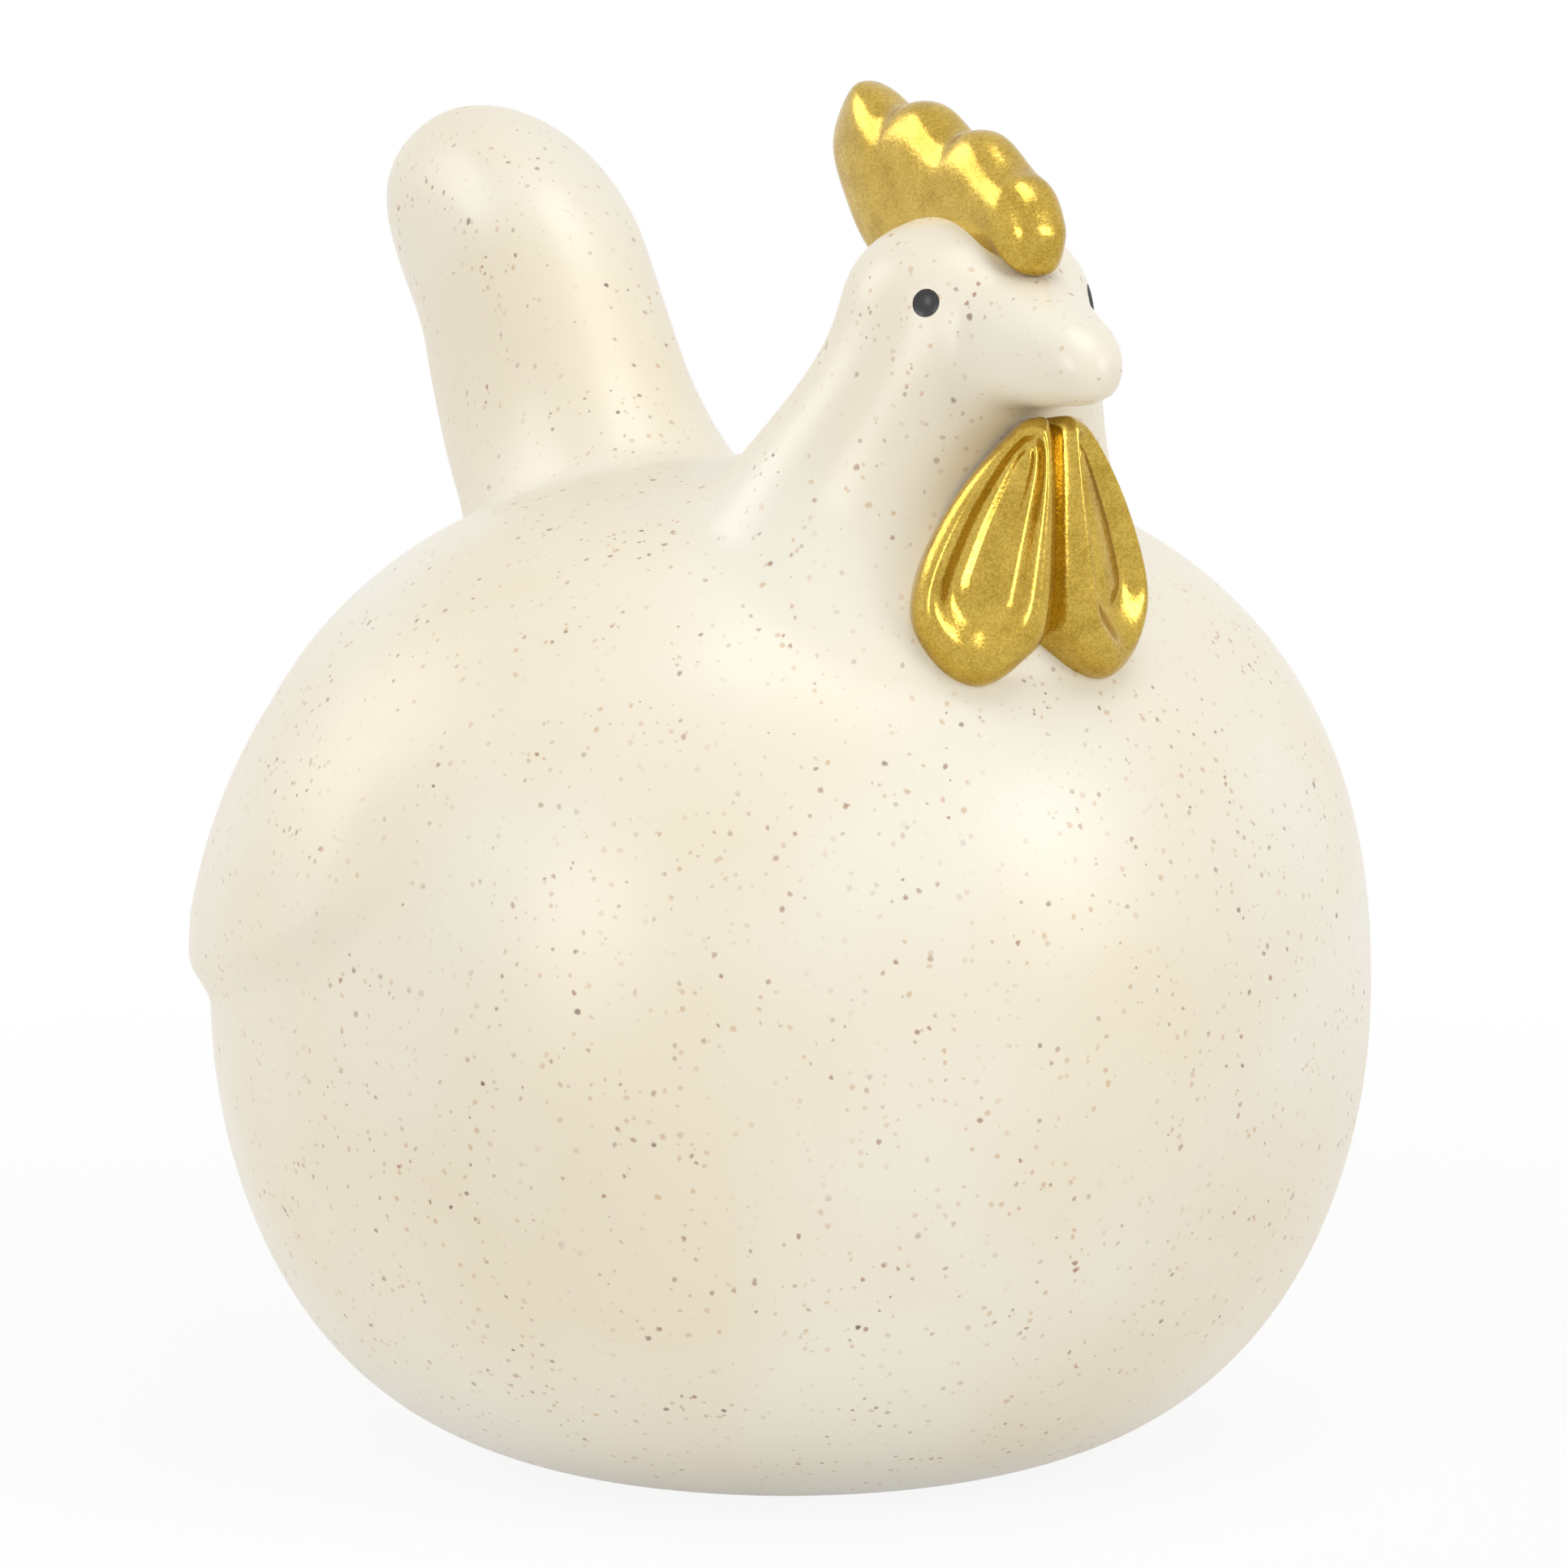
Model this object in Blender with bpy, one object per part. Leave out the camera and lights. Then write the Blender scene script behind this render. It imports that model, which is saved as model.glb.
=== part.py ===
"""Hen figurine: a round, hollow slip-cast hen with a gilded comb and gilded wattles.

The hen faces -Y, is symmetric about X = 0 and stands on Z = 0. Forms are lofted from
superellipse sections, joined, and blended the way a modeller smooths soft clay. The comb
and the wattles keep the crisp crease that a glazed mould line has. Lengths are in metres.
"""

import math

import bmesh
import bpy
from mathutils import Matrix, Vector

MM = 0.001

# Body: an egg that is fuller below its widest height and stands on a flat foot
BODY_HALF_WIDTH = 51.0 * MM
BODY_HALF_LENGTH = 50.2 * MM
BODY_TOP = 87.2 * MM
BODY_WIDEST_HEIGHT = 40.5 * MM
BODY_LOWER_TAPER = 1.95
BODY_LOWER_FULLNESS = 3.4
BODY_UPPER_FULLNESS = 2.38
FOOT_RADIUS = 22.3 * MM
FOOT_TRIM = 0.5 * MM

# Neck and head: one cone that leans forward and ends in a dome
HEAD_HALF_WIDTH = 10.6 * MM
HEAD_HALF_LENGTH = 10.8 * MM
HEAD_SETBACK = 21.0 * MM
HEAD_FORWARD = BODY_HALF_LENGTH - HEAD_SETBACK
HEAD_WIDEST_HEIGHT = 102.0 * MM
HEAD_TOP = 109.7 * MM
NECK_ROOT_HALF_WIDTH = 25.0 * MM
NECK_ROOT_HALF_LENGTH = 21.5 * MM
NECK_LEAN = 9.2 * MM
NECK_ROOT_FORWARD = HEAD_FORWARD - NECK_LEAN
NECK_ROOT_HEIGHT = 73.5 * MM
NECK_FLARE_POWER = 1.3
NECK_LEAN_END = 0.7

# Tail: a thick rounded paddle that leans back, its rear edge bulging in two feather lobes
TAIL_HALF_THICKNESS = 8.8 * MM
TAIL_HALF_LENGTH = 15.4 * MM
TAIL_TOP = 116.6 * MM
TAIL_DOME_HEIGHT = 12.3 * MM
TAIL_STRAIGHT_HEIGHT = 95.5 * MM
TAIL_ROOT_HEIGHT = 66.0 * MM
TAIL_ROOT_FLARE = 1.3
TAIL_SETIN = 6.4 * MM
TAIL_BACK_AT_STRAIGHT = BODY_HALF_LENGTH - TAIL_SETIN
TAIL_LEAN = math.radians(34.0)
TAIL_SQUARENESS = 2.6
UPPER_FEATHER_MIDDLE = 103.8 * MM
UPPER_FEATHER_HALF_HEIGHT = 9.4 * MM
UPPER_FEATHER_BULGE = 2.8 * MM
LOWER_FEATHER_MIDDLE = 88.2 * MM
LOWER_FEATHER_HALF_HEIGHT = 8.2 * MM
LOWER_FEATHER_BULGE = 3.3 * MM

# Beak: a stubby cone on the front of the head
BEAK_REACH = 21.8 * MM
BEAK_TIP_FORWARD = HEAD_FORWARD + BEAK_REACH
BEAK_TIP_HEIGHT = 97.2 * MM
BEAK_TIP_RADIUS = 2.6 * MM
BEAK_ROOT_REACH = 4.8 * MM
BEAK_ROOT_FORWARD = HEAD_FORWARD + BEAK_ROOT_REACH
BEAK_ROOT_HEIGHT = 100.2 * MM
BEAK_ROOT_HALF_WIDTH = 7.4 * MM
BEAK_ROOT_HALF_HEIGHT = 6.9 * MM
BEAK_SQUARENESS = 2.4
BEAK_TIP_ROUND = 0.2

# Eyes: shallow round dimples that are painted black
EYE_DIAMETER = 2.5 * MM
EYE_DIMPLE_DEPTH = 0.45 * MM
EYE_HEIGHT = 102.4 * MM
EYE_BEARING = math.radians(50.0)

# Wings: low relief that follows the body and fades into its back
WING_RELIEF = 1.6 * MM
WING_SHIFT_BACK = 1.3 * MM
WING_FADE_LOW = 48.0 * MM
WING_FADE_HIGH = 68.0 * MM
WING_SINK = 0.6 * MM
WING_FRONT = 17.5 * MM
WING_REAR = 40.0 * MM
WING_FRONT_HEIGHT = 60.0 * MM
WING_REAR_HEIGHT = 51.0 * MM
WING_RISE = 19.0 * MM
WING_DROP = 12.5 * MM
WING_KEEPER_START = 15.0 * MM
WING_KEEPER_END = 75.0 * MM

# Comb: a thick plate along the crown, with lobes that step down to the brow
COMB_THICKNESS = 6.4 * MM
COMB_FULLNESS = 2.4
COMB_REAR_REACH = 20.3 * MM
COMB_FRONT_REACH = 12.8 * MM
COMB_RISE = 15.2 * MM
COMB_FALL = 7.0 * MM
COMB_FALL_POWER = 1.85
COMB_NOTCH_DEPTH = 1.3 * MM
COMB_ROOT_SINK = 4.9 * MM
COMB_REAR = HEAD_FORWARD - COMB_REAR_REACH
COMB_FRONT = HEAD_FORWARD + COMB_FRONT_REACH
COMB_ROOT_HEIGHT = HEAD_TOP - COMB_ROOT_SINK
COMB_NOTCH_SHARES = (0.30, 0.60, 0.85)
COMB_LOBE_PARTS = (0.3, 0.6, 1.0)
COMB_REAR_EDGE = ((0.55, -0.33), (0.22, 0.00), (0.07, 0.35), (0.00, 0.68))
COMB_BROW_EDGE = (
    (0.915, 0.51),
    (0.955, 0.43),
    (0.985, 0.31),
    (1.00, 0.18),
    (0.955, -0.02),
    (0.84, 0.05),
)
COMB_SPINE = ((0.32, 0.45), (0.61, 0.35), (0.86, 0.25))

# Wattles: a mirrored pair of teardrop lobes, each turned to its side with a leaf-shaped dish
WATTLE_TOP_HEIGHT = 93.3 * MM
WATTLE_BOTTOM_HEIGHT = 71.0 * MM
WATTLE_WIDTH = 12.0 * MM
WATTLE_SWELL = 4.5 * MM
WATTLE_TOP_THINNING = 0.5
WATTLE_ROOT_DEPTH = 9.0 * MM
WATTLE_FULLNESS = 2.4
WATTLE_REACH = 13.7 * MM
WATTLE_PLANE_FORWARD = HEAD_FORWARD + WATTLE_REACH
WATTLE_TURN = math.radians(28.0)
WATTLE_OUTLINE = (
    (0.00, 0.92),
    (0.15, 1.00),
    (0.35, 0.92),
    (0.67, 0.72),
    (0.92, 0.46),
    (0.98, 0.24),
    (0.78, 0.06),
    (0.50, 0.00),
    (0.22, 0.09),
    (0.00, 0.28),
)
WATTLE_SPINE = ((0.20, 0.84), (0.38, 0.60), (0.49, 0.42))
DISH_DEPTH = 1.9 * MM
DISH_START = 0.42
DISH_FLOOR = 0.82

# Casting: wall left by the slip and the hole in the foot that drains and vents the mould
WALL = 4.0 * MM
VENT_DIAMETER = 11.0 * MM
VENT_CUT_REACH = 12.0 * MM

# Finishes, as linear colours
GLAZE_COLOUR = (0.86, 0.80, 0.67)
GOLD_COLOUR = (0.60, 0.42, 0.08)
EYE_PAINT_COLOUR = (0.03, 0.03, 0.03)

# Fineness of the clay model
RING_POINTS = 48
CURVE_PIECES = 3
BODY_LAST_RING = 0.998
BEAK_LAST_RING = 0.985
PLUMP_INNERMOST = 0.85
PLUMP_RIM_CROWDING = 1.5
SMALLEST_RING = 0.2 * MM
SEAM_WELD = 0.01 * MM
BLEND_VOXEL = 1.0 * MM
CAVITY_VOXEL = 2.0 * MM
OUTER_TRIANGLES = 5700
CAVITY_TRIANGLES = 1500
SHARP_EDGE_ANGLE = math.radians(50.0)


def remove_all_objects():
    """Empty the scene so that the file builds the same model each time."""
    for item in list(bpy.data.objects):
        bpy.data.objects.remove(item, do_unlink=True)


def finish_material(name, colour, roughness, metallic):
    """One Principled finish of the figurine."""
    material = bpy.data.materials.new(name)
    material.use_nodes = True
    shader = material.node_tree.nodes["Principled BSDF"]
    shader.inputs["Base Color"].default_value = (*colour, 1.0)
    shader.inputs["Roughness"].default_value = roughness
    shader.inputs["Metallic"].default_value = metallic
    material.diffuse_color = (*colour, 1.0)
    return material


def object_from_bmesh(name, bm, material):
    """Link a closed bmesh with outward faces as an object with one finish."""
    bmesh.ops.recalc_face_normals(bm, faces=bm.faces)
    mesh = bpy.data.meshes.new(name)
    bm.to_mesh(mesh)
    bm.free()
    mesh.materials.append(material)
    item = bpy.data.objects.new(name, mesh)
    bpy.context.collection.objects.link(item)
    return item


def apply_modifiers(item):
    """Turn the object's evaluated shape into its own mesh."""
    graph = bpy.context.evaluated_depsgraph_get()
    evaluated = item.evaluated_get(graph)
    mesh = bpy.data.meshes.new_from_object(evaluated)
    old_mesh = item.data
    item.modifiers.clear()
    item.data = mesh
    bpy.data.meshes.remove(old_mesh)


def combine(item, others, operation):
    """Join or cut an object by others, which are used up."""
    for other in others:
        modifier = item.modifiers.new(operation.title(), 'BOOLEAN')
        modifier.operation = operation
        modifier.solver = 'EXACT'
        modifier.material_mode = 'TRANSFER'
        modifier.object = other
        apply_modifiers(item)
        bpy.data.objects.remove(other, do_unlink=True)


def soften(item, voxel, passes):
    """Melt the joints of a clay form: even skin first, then smoothing passes."""
    remesh = item.modifiers.new("Even skin", 'REMESH')
    remesh.mode = 'VOXEL'
    remesh.voxel_size = voxel
    smooth = item.modifiers.new("Soft joints", 'SMOOTH')
    smooth.factor = 0.5
    smooth.iterations = passes
    apply_modifiers(item)


def thin_out(item, triangles):
    """Lower the face count; flat stretches keep few faces and curved ones keep many."""
    item.data.calc_loop_triangles()
    decimate = item.modifiers.new("Fewer faces", 'DECIMATE')
    decimate.ratio = min(1.0, triangles / len(item.data.loop_triangles))
    apply_modifiers(item)


def make_sides_match(item):
    """Mirror the +X half over to -X, so that both sides are the same."""
    bm = bmesh.new()
    bm.from_mesh(item.data)
    parts = bm.verts[:] + bm.edges[:] + bm.faces[:]
    bmesh.ops.symmetrize(bm, input=parts, direction='X', dist=SEAM_WELD)
    bm.to_mesh(item.data)
    bm.free()


def trim_foot(item):
    """Slice the foot flat at the floor and close it with one face."""
    bm = bmesh.new()
    bm.from_mesh(item.data)
    cut = bmesh.ops.bisect_plane(
        bm,
        geom=bm.verts[:] + bm.edges[:] + bm.faces[:],
        plane_co=(0.0, 0.0, 0.0),
        plane_no=(0.0, 0.0, -1.0),
        clear_outer=True,
    )
    rim = [part for part in cut["geom_cut"] if isinstance(part, bmesh.types.BMEdge)]
    bmesh.ops.contextual_create(bm, geom=rim)
    bm.to_mesh(item.data)
    bm.free()


def signed_power(value, power):
    """Power that keeps the sign of its base."""
    return math.copysign(abs(value) ** power, value)


def superellipse(half_width, half_length, squareness):
    """Points of a closed superellipse; squareness 2 is an ellipse and more is boxier."""
    points = []
    for index in range(RING_POINTS):
        angle = math.tau * index / RING_POINTS
        across = half_width * signed_power(math.cos(angle), 2.0 / squareness)
        along = half_length * signed_power(math.sin(angle), 2.0 / squareness)
        points.append((across, along))
    return points


def loft(name, rings, material):
    """Closed skin through rings of equal point count, bridged in order and capped."""
    bm = bmesh.new()
    edges = []
    for ring in rings:
        verts = [bm.verts.new(point) for point in ring]
        for index, vert in enumerate(verts):
            edges.append(bm.edges.new((vert, verts[index - 1])))
        if ring is rings[0] or ring is rings[-1]:
            bm.faces.new(verts)
    count = len(rings[0])
    for step in range(len(rings) - 1):
        pair = edges[step * count:(step + 2) * count]
        bmesh.ops.bridge_loops(bm, edges=pair)
    return object_from_bmesh(name, bm, material)


def dome_share(part_of_height, fullness):
    """Radius share at a part of a dome's height, from 1 at its base to 0 at its top."""
    return max(0.0, 1.0 - part_of_height ** fullness) ** (1.0 / fullness)


def smoothstep(value):
    """Ease from 0 to 1 with level ends."""
    clamped = min(1.0, max(0.0, value))
    return clamped * clamped * (3.0 - 2.0 * clamped)


def level_ring(forward, height, half_width, half_length, squareness=2.0):
    """Horizontal section whose centre lies a distance forward of the body's axis."""
    outline = superellipse(half_width, half_length, squareness)
    return [Vector((across, along - forward, height)) for across, along in outline]


def body_share(height):
    """Radius of the body at a height, as a share of its largest radius."""
    if height >= BODY_WIDEST_HEIGHT:
        rise = (height - BODY_WIDEST_HEIGHT) / (BODY_TOP - BODY_WIDEST_HEIGHT)
        return dome_share(rise, BODY_UPPER_FULLNESS)
    foot_share = 2.0 * FOOT_RADIUS / (BODY_HALF_WIDTH + BODY_HALF_LENGTH)
    foot_loss = 1.0 - foot_share ** BODY_LOWER_FULLNESS
    drop = (BODY_WIDEST_HEIGHT - height) / BODY_WIDEST_HEIGHT
    loss = foot_loss * drop ** BODY_LOWER_TAPER
    return max(0.0, 1.0 - loss) ** (1.0 / BODY_LOWER_FULLNESS)


def body_form(name, material, swell_at):
    """Egg of the body, swollen sideways by an amount that may change with height."""
    rings = []
    steps = 40
    low = -FOOT_TRIM
    high = BODY_LAST_RING * BODY_TOP
    for step in range(steps + 1):
        height = low + (high - low) * (0.5 - 0.5 * math.cos(math.pi * step / steps))
        share = body_share(height)
        half_width = max(SMALLEST_RING, share * BODY_HALF_WIDTH + swell_at(height))
        half_length = max(SMALLEST_RING, share * BODY_HALF_LENGTH + swell_at(height))
        rings.append(level_ring(0.0, height, half_width, half_length))
    return loft(name, rings, material)


def body_cavity_form(name, material):
    """Egg inside the body, a wall smaller on every side."""
    rings = []
    steps = 24
    low = WALL
    high = BODY_TOP - WALL
    for step in range(steps + 1):
        height = low + (high - low) * (0.5 - 0.5 * math.cos(math.pi * step / steps))
        share = body_share(min(BODY_LAST_RING * BODY_TOP, height))
        half_width = max(SMALLEST_RING, share * BODY_HALF_WIDTH - WALL)
        half_length = max(SMALLEST_RING, share * BODY_HALF_LENGTH - WALL)
        rings.append(level_ring(0.0, height, half_width, half_length))
    return loft(name, rings, material)


def neck_form(name, material, inset=0.0):
    """Neck that rises from the back and ends in the dome of the head."""
    rings = []
    steps = 16
    for step in range(steps + 1):
        rise = step / steps
        height = NECK_ROOT_HEIGHT + rise * (HEAD_WIDEST_HEIGHT - NECK_ROOT_HEIGHT)
        drop = 1.0 - rise
        spread = drop ** NECK_FLARE_POWER
        lean = smoothstep(drop / NECK_LEAN_END)
        half_width = HEAD_HALF_WIDTH + spread * (NECK_ROOT_HALF_WIDTH - HEAD_HALF_WIDTH)
        half_length = HEAD_HALF_LENGTH + spread * (NECK_ROOT_HALF_LENGTH - HEAD_HALF_LENGTH)
        forward = HEAD_FORWARD + lean * (NECK_ROOT_FORWARD - HEAD_FORWARD)
        rings.append(level_ring(forward, height, half_width - inset, half_length - inset))
    dome_steps = 8
    dome_height = HEAD_TOP - HEAD_WIDEST_HEIGHT - inset
    for step in range(1, dome_steps):
        angle = 0.5 * math.pi * step / dome_steps
        share = math.cos(angle)
        height = HEAD_WIDEST_HEIGHT + dome_height * math.sin(angle)
        half_width = share * (HEAD_HALF_WIDTH - inset)
        half_length = share * (HEAD_HALF_LENGTH - inset)
        rings.append(level_ring(HEAD_FORWARD, height, half_width, half_length))
    return loft(name, rings, material)


def tail_centre(height):
    """Distance from the body's axis forward to the tail's centre line; it is negative."""
    return -TAIL_BACK_AT_STRAIGHT - (height - TAIL_STRAIGHT_HEIGHT) * math.tan(TAIL_LEAN)


def feather_bulge(height):
    """How far the rear edge of the tail bulges at a height, over its two feather lobes."""
    upper = (height - UPPER_FEATHER_MIDDLE) / UPPER_FEATHER_HALF_HEIGHT
    lower = (height - LOWER_FEATHER_MIDDLE) / LOWER_FEATHER_HALF_HEIGHT
    upper_bulge = UPPER_FEATHER_BULGE * dome_share(abs(upper), 2.0)
    lower_bulge = LOWER_FEATHER_BULGE * dome_share(abs(lower), 2.0)
    return max(upper_bulge, lower_bulge)


def tail_form(name, material, inset=0.0):
    """Tail paddle: a root that flares sideways and forward, a lobed shaft and a domed end."""
    rings = []
    shaft_top = TAIL_TOP - TAIL_DOME_HEIGHT
    shaft_steps = 30
    dome_steps = 8
    for step in range(shaft_steps + dome_steps):
        turn = 0.5 * math.pi * max(0, step - shaft_steps) / dome_steps
        climb = min(1.0, step / shaft_steps)
        height = TAIL_ROOT_HEIGHT + climb * (shaft_top - TAIL_ROOT_HEIGHT)
        height += (TAIL_DOME_HEIGHT - inset) * math.sin(turn)
        below = max(0.0, TAIL_STRAIGHT_HEIGHT - height)
        reach = below / (TAIL_STRAIGHT_HEIGHT - TAIL_ROOT_HEIGHT)
        flare = TAIL_ROOT_FLARE * reach ** 2
        front_gain = flare * TAIL_HALF_LENGTH
        rear_gain = feather_bulge(height)
        half_width = math.cos(turn) * ((1.0 + flare) * TAIL_HALF_THICKNESS - inset)
        half_length = TAIL_HALF_LENGTH + 0.5 * (front_gain + rear_gain) - inset
        forward = tail_centre(height) + 0.5 * (front_gain - rear_gain)
        half_length *= math.cos(turn)
        rings.append(level_ring(forward, height, half_width, half_length, TAIL_SQUARENESS))
    return loft(name, rings, material)


def beak_form(material):
    """Beak: upright sections that shrink to a rounded tip."""
    rings = []
    steps = 14
    length = BEAK_TIP_FORWARD - BEAK_ROOT_FORWARD
    for step in range(steps):
        reach = math.sin(0.5 * math.pi * BEAK_LAST_RING * step / (steps - 1))
        taper = 1.0 - reach
        end_round = dome_share(max(0.0, 1.0 - taper / BEAK_TIP_ROUND), 2.0)
        half_width = BEAK_TIP_RADIUS + taper * (BEAK_ROOT_HALF_WIDTH - BEAK_TIP_RADIUS)
        half_height = BEAK_TIP_RADIUS + taper * (BEAK_ROOT_HALF_HEIGHT - BEAK_TIP_RADIUS)
        height = BEAK_ROOT_HEIGHT + reach * (BEAK_TIP_HEIGHT - BEAK_ROOT_HEIGHT)
        forward = BEAK_ROOT_FORWARD + reach * length
        outline = superellipse(end_round * half_width, end_round * half_height, BEAK_SQUARENESS)
        rings.append([Vector((across, -forward, height + up)) for across, up in outline])
    return loft("beak", rings, material)


def wing_swell(height):
    """Relief of the wing at a height: full at its lower edge, fading evenly into the back."""
    fade = (height - WING_FADE_LOW) / (WING_FADE_HIGH - WING_FADE_LOW)
    return WING_RELIEF - min(1.0, max(0.0, fade)) * (WING_RELIEF + WING_SINK)


def wing_form(side, material):
    """Wing of one side: the swollen body kept only inside the wing's outline."""
    wing = body_form("wing", material, wing_swell)
    wing.data.transform(Matrix.Translation((0.0, WING_SHIFT_BACK, 0.0)))
    middle = 0.5 * (WING_FRONT - WING_REAR)
    half_run = 0.5 * (WING_FRONT + WING_REAR)
    outline = []
    for index in range(RING_POINTS):
        angle = math.tau * index / RING_POINTS
        run = math.cos(angle)
        forward = middle + half_run * run
        toward_front = 0.5 + 0.5 * run
        axis_height = WING_REAR_HEIGHT + toward_front * (WING_FRONT_HEIGHT - WING_REAR_HEIGHT)
        reach = WING_RISE if math.sin(angle) > 0.0 else WING_DROP
        outline.append((forward, axis_height + reach * math.sin(angle)))
    rings = []
    for across in (side * WING_KEEPER_START, side * WING_KEEPER_END):
        rings.append([Vector((across, -forward, height)) for forward, height in outline])
    keeper = loft("wing_outline", rings, material)
    combine(wing, [keeper], 'INTERSECT')
    return wing


def smooth_outline(points, pieces):
    """Closed Catmull-Rom curve through the points, with some pieces between each pair."""
    curve = []
    for index, start in enumerate(points):
        before = points[index - 1]
        end = points[(index + 1) % len(points)]
        after = points[(index + 2) % len(points)]
        for piece in range(pieces):
            t = piece / pieces
            bend = 2.0 * before - 5.0 * start + 4.0 * end - after
            twist = 3.0 * (start - end) + after - before
            curve.append(start + 0.5 * t * (end - before + t * (bend + t * twist)))
    return curve


def nearest_on_spine(point, spine):
    """Closest point to an outline point on a spine of straight stretches."""
    found = []
    for start, end in zip(spine, spine[1:]):
        run = end - start
        share = min(1.0, max(0.0, (point - start).dot(run) / run.dot(run)))
        found.append(start + share * run)
    return min(found, key=lambda place: (place - point).length)


def plump_face(outline, spine, swell, fullness, dish_depth, steps):
    """Rings of a plump face: the outline shrinks towards its spine as the face swells.

    The outline and the spine lie in the local XY plane, and the face swells along Z. A
    dish sinks the middle of the face. The first ring is the outline itself.
    """
    feet = [nearest_on_spine(point, spine) for point in outline]
    rings = []
    for step in range(steps + 1):
        share = PLUMP_INNERMOST * (step / steps) ** PLUMP_RIM_CROWDING
        height = swell * dome_share(1.0 - share, fullness)
        height -= dish_depth * smoothstep((share - DISH_START) / (DISH_FLOOR - DISH_START))
        rings.append([(*point.lerp(foot, share), height) for point, foot in zip(outline, feet)])
    return rings


def place_on_comb(place):
    """Point of the comb's side view, forward and up, from shares of its length and rise."""
    along, climb = place
    forward = COMB_REAR + along * (COMB_FRONT - COMB_REAR)
    return Vector((forward, COMB_ROOT_HEIGHT + climb * COMB_RISE))


def comb_outline():
    """Side view of the comb, from its root up the rear edge, over the lobes and the brow.

    The crest falls in an ever steeper arc, and each lobe stands above it like half a wave.
    """
    points = [place_on_comb(place) for place in COMB_REAR_EDGE]
    lobe_start = 0.0
    for notch_share in COMB_NOTCH_SHARES:
        for part in COMB_LOBE_PARTS:
            share = lobe_start + part * (notch_share - lobe_start)
            fall = COMB_FALL * share ** COMB_FALL_POWER
            sunk = COMB_NOTCH_DEPTH * (1.0 - math.sin(math.pi * part))
            points.append(place_on_comb((share, 1.0 - (fall + sunk) / COMB_RISE)))
        lobe_start = notch_share
    points += [place_on_comb(place) for place in COMB_BROW_EDGE]
    return points


def comb_form(material):
    """Comb plate set upright along the crown."""
    outline = smooth_outline(comb_outline(), CURVE_PIECES)
    spine = [place_on_comb(place) for place in COMB_SPINE]
    near_face = plump_face(outline, spine, 0.5 * COMB_THICKNESS, COMB_FULLNESS, 0.0, 7)
    far_face = plump_face(outline, spine, -0.5 * COMB_THICKNESS, COMB_FULLNESS, 0.0, 7)
    comb = loft("comb", far_face[:0:-1] + near_face, material)
    upright = Matrix(((0, 0, -1, 0), (-1, 0, 0, 0), (0, 1, 0, 0), (0, 0, 0, 1)))
    comb.data.transform(upright)
    return comb


def wattle_form(side, material):
    """Wattle lobe of one side: a teardrop on the breast with a leaf-shaped dish in its face."""
    height = WATTLE_TOP_HEIGHT - WATTLE_BOTTOM_HEIGHT

    def place_on_lobe(place):
        """Point of the lobe from shares of its width and height."""
        across, up = place
        return Vector((across * WATTLE_WIDTH, WATTLE_BOTTOM_HEIGHT + up * height))

    outline = smooth_outline([place_on_lobe(place) for place in WATTLE_OUTLINE], CURVE_PIECES)
    spine = [place_on_lobe(place) for place in WATTLE_SPINE]
    rings = [[(*point, -WATTLE_ROOT_DEPTH) for point in outline]]
    for ring in plump_face(outline, spine, WATTLE_SWELL, WATTLE_FULLNESS, DISH_DEPTH, 12):
        thinned = []
        for across, up, out in ring:
            climb = (up - WATTLE_BOTTOM_HEIGHT) / height
            thinned.append((across, up, out * (1.0 - WATTLE_TOP_THINNING * climb ** 2)))
        rings.append(thinned)
    lobe = loft("wattle", rings, material)
    upright = Matrix(((1, 0, 0, 0), (0, 0, -1, 0), (0, 1, 0, 0), (0, 0, 0, 1)))
    place = Matrix.Translation((0.0, -WATTLE_PLANE_FORWARD, 0.0))
    lobe.data.transform(place @ Matrix.Rotation(WATTLE_TURN, 4, 'Z') @ upright)
    if side < 0:
        lobe.data.transform(Matrix.Scale(-1.0, 4, (1.0, 0.0, 0.0)))
        lobe.data.flip_normals()
    return lobe


def eye_dimple(hen, side, material):
    """Ball whose cut leaves a round dimple where the eye's bearing meets the head."""
    ball_radius = (0.25 * EYE_DIAMETER ** 2 + EYE_DIMPLE_DEPTH ** 2) / (2.0 * EYE_DIMPLE_DEPTH)
    outward = Vector((side * math.sin(EYE_BEARING), -math.cos(EYE_BEARING), 0.0))
    head_centre = Vector((0.0, -HEAD_FORWARD, EYE_HEIGHT))
    far_out = head_centre + 3.0 * HEAD_HALF_WIDTH * outward
    surface, normal = hen.ray_cast(far_out, -outward)[1:3]
    centre = surface + normal * (ball_radius - EYE_DIMPLE_DEPTH)
    bm = bmesh.new()
    bmesh.ops.create_uvsphere(bm, u_segments=40, v_segments=24, radius=ball_radius)
    bmesh.ops.translate(bm, vec=centre, verts=bm.verts)
    return object_from_bmesh("eye_dimple", bm, material)


def cavity_form(material):
    """Inside of the casting: the outer forms, each smaller by the wall."""
    cavity = body_cavity_form("cavity", material)
    neck = neck_form("neck_cavity", material, inset=WALL)
    tail = tail_form("tail_cavity", material, inset=WALL)
    combine(cavity, [neck, tail], 'UNION')
    soften(cavity, CAVITY_VOXEL, 4)
    thin_out(cavity, CAVITY_TRIANGLES)
    make_sides_match(cavity)
    return cavity


def vent_hole(material):
    """Cutter for the hole through the foot."""
    bm = bmesh.new()
    bmesh.ops.create_cone(
        bm,
        cap_ends=True,
        segments=32,
        radius1=0.5 * VENT_DIAMETER,
        radius2=0.5 * VENT_DIAMETER,
        depth=2.0 * VENT_CUT_REACH,
    )
    return object_from_bmesh("vent_hole", bm, material)


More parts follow.
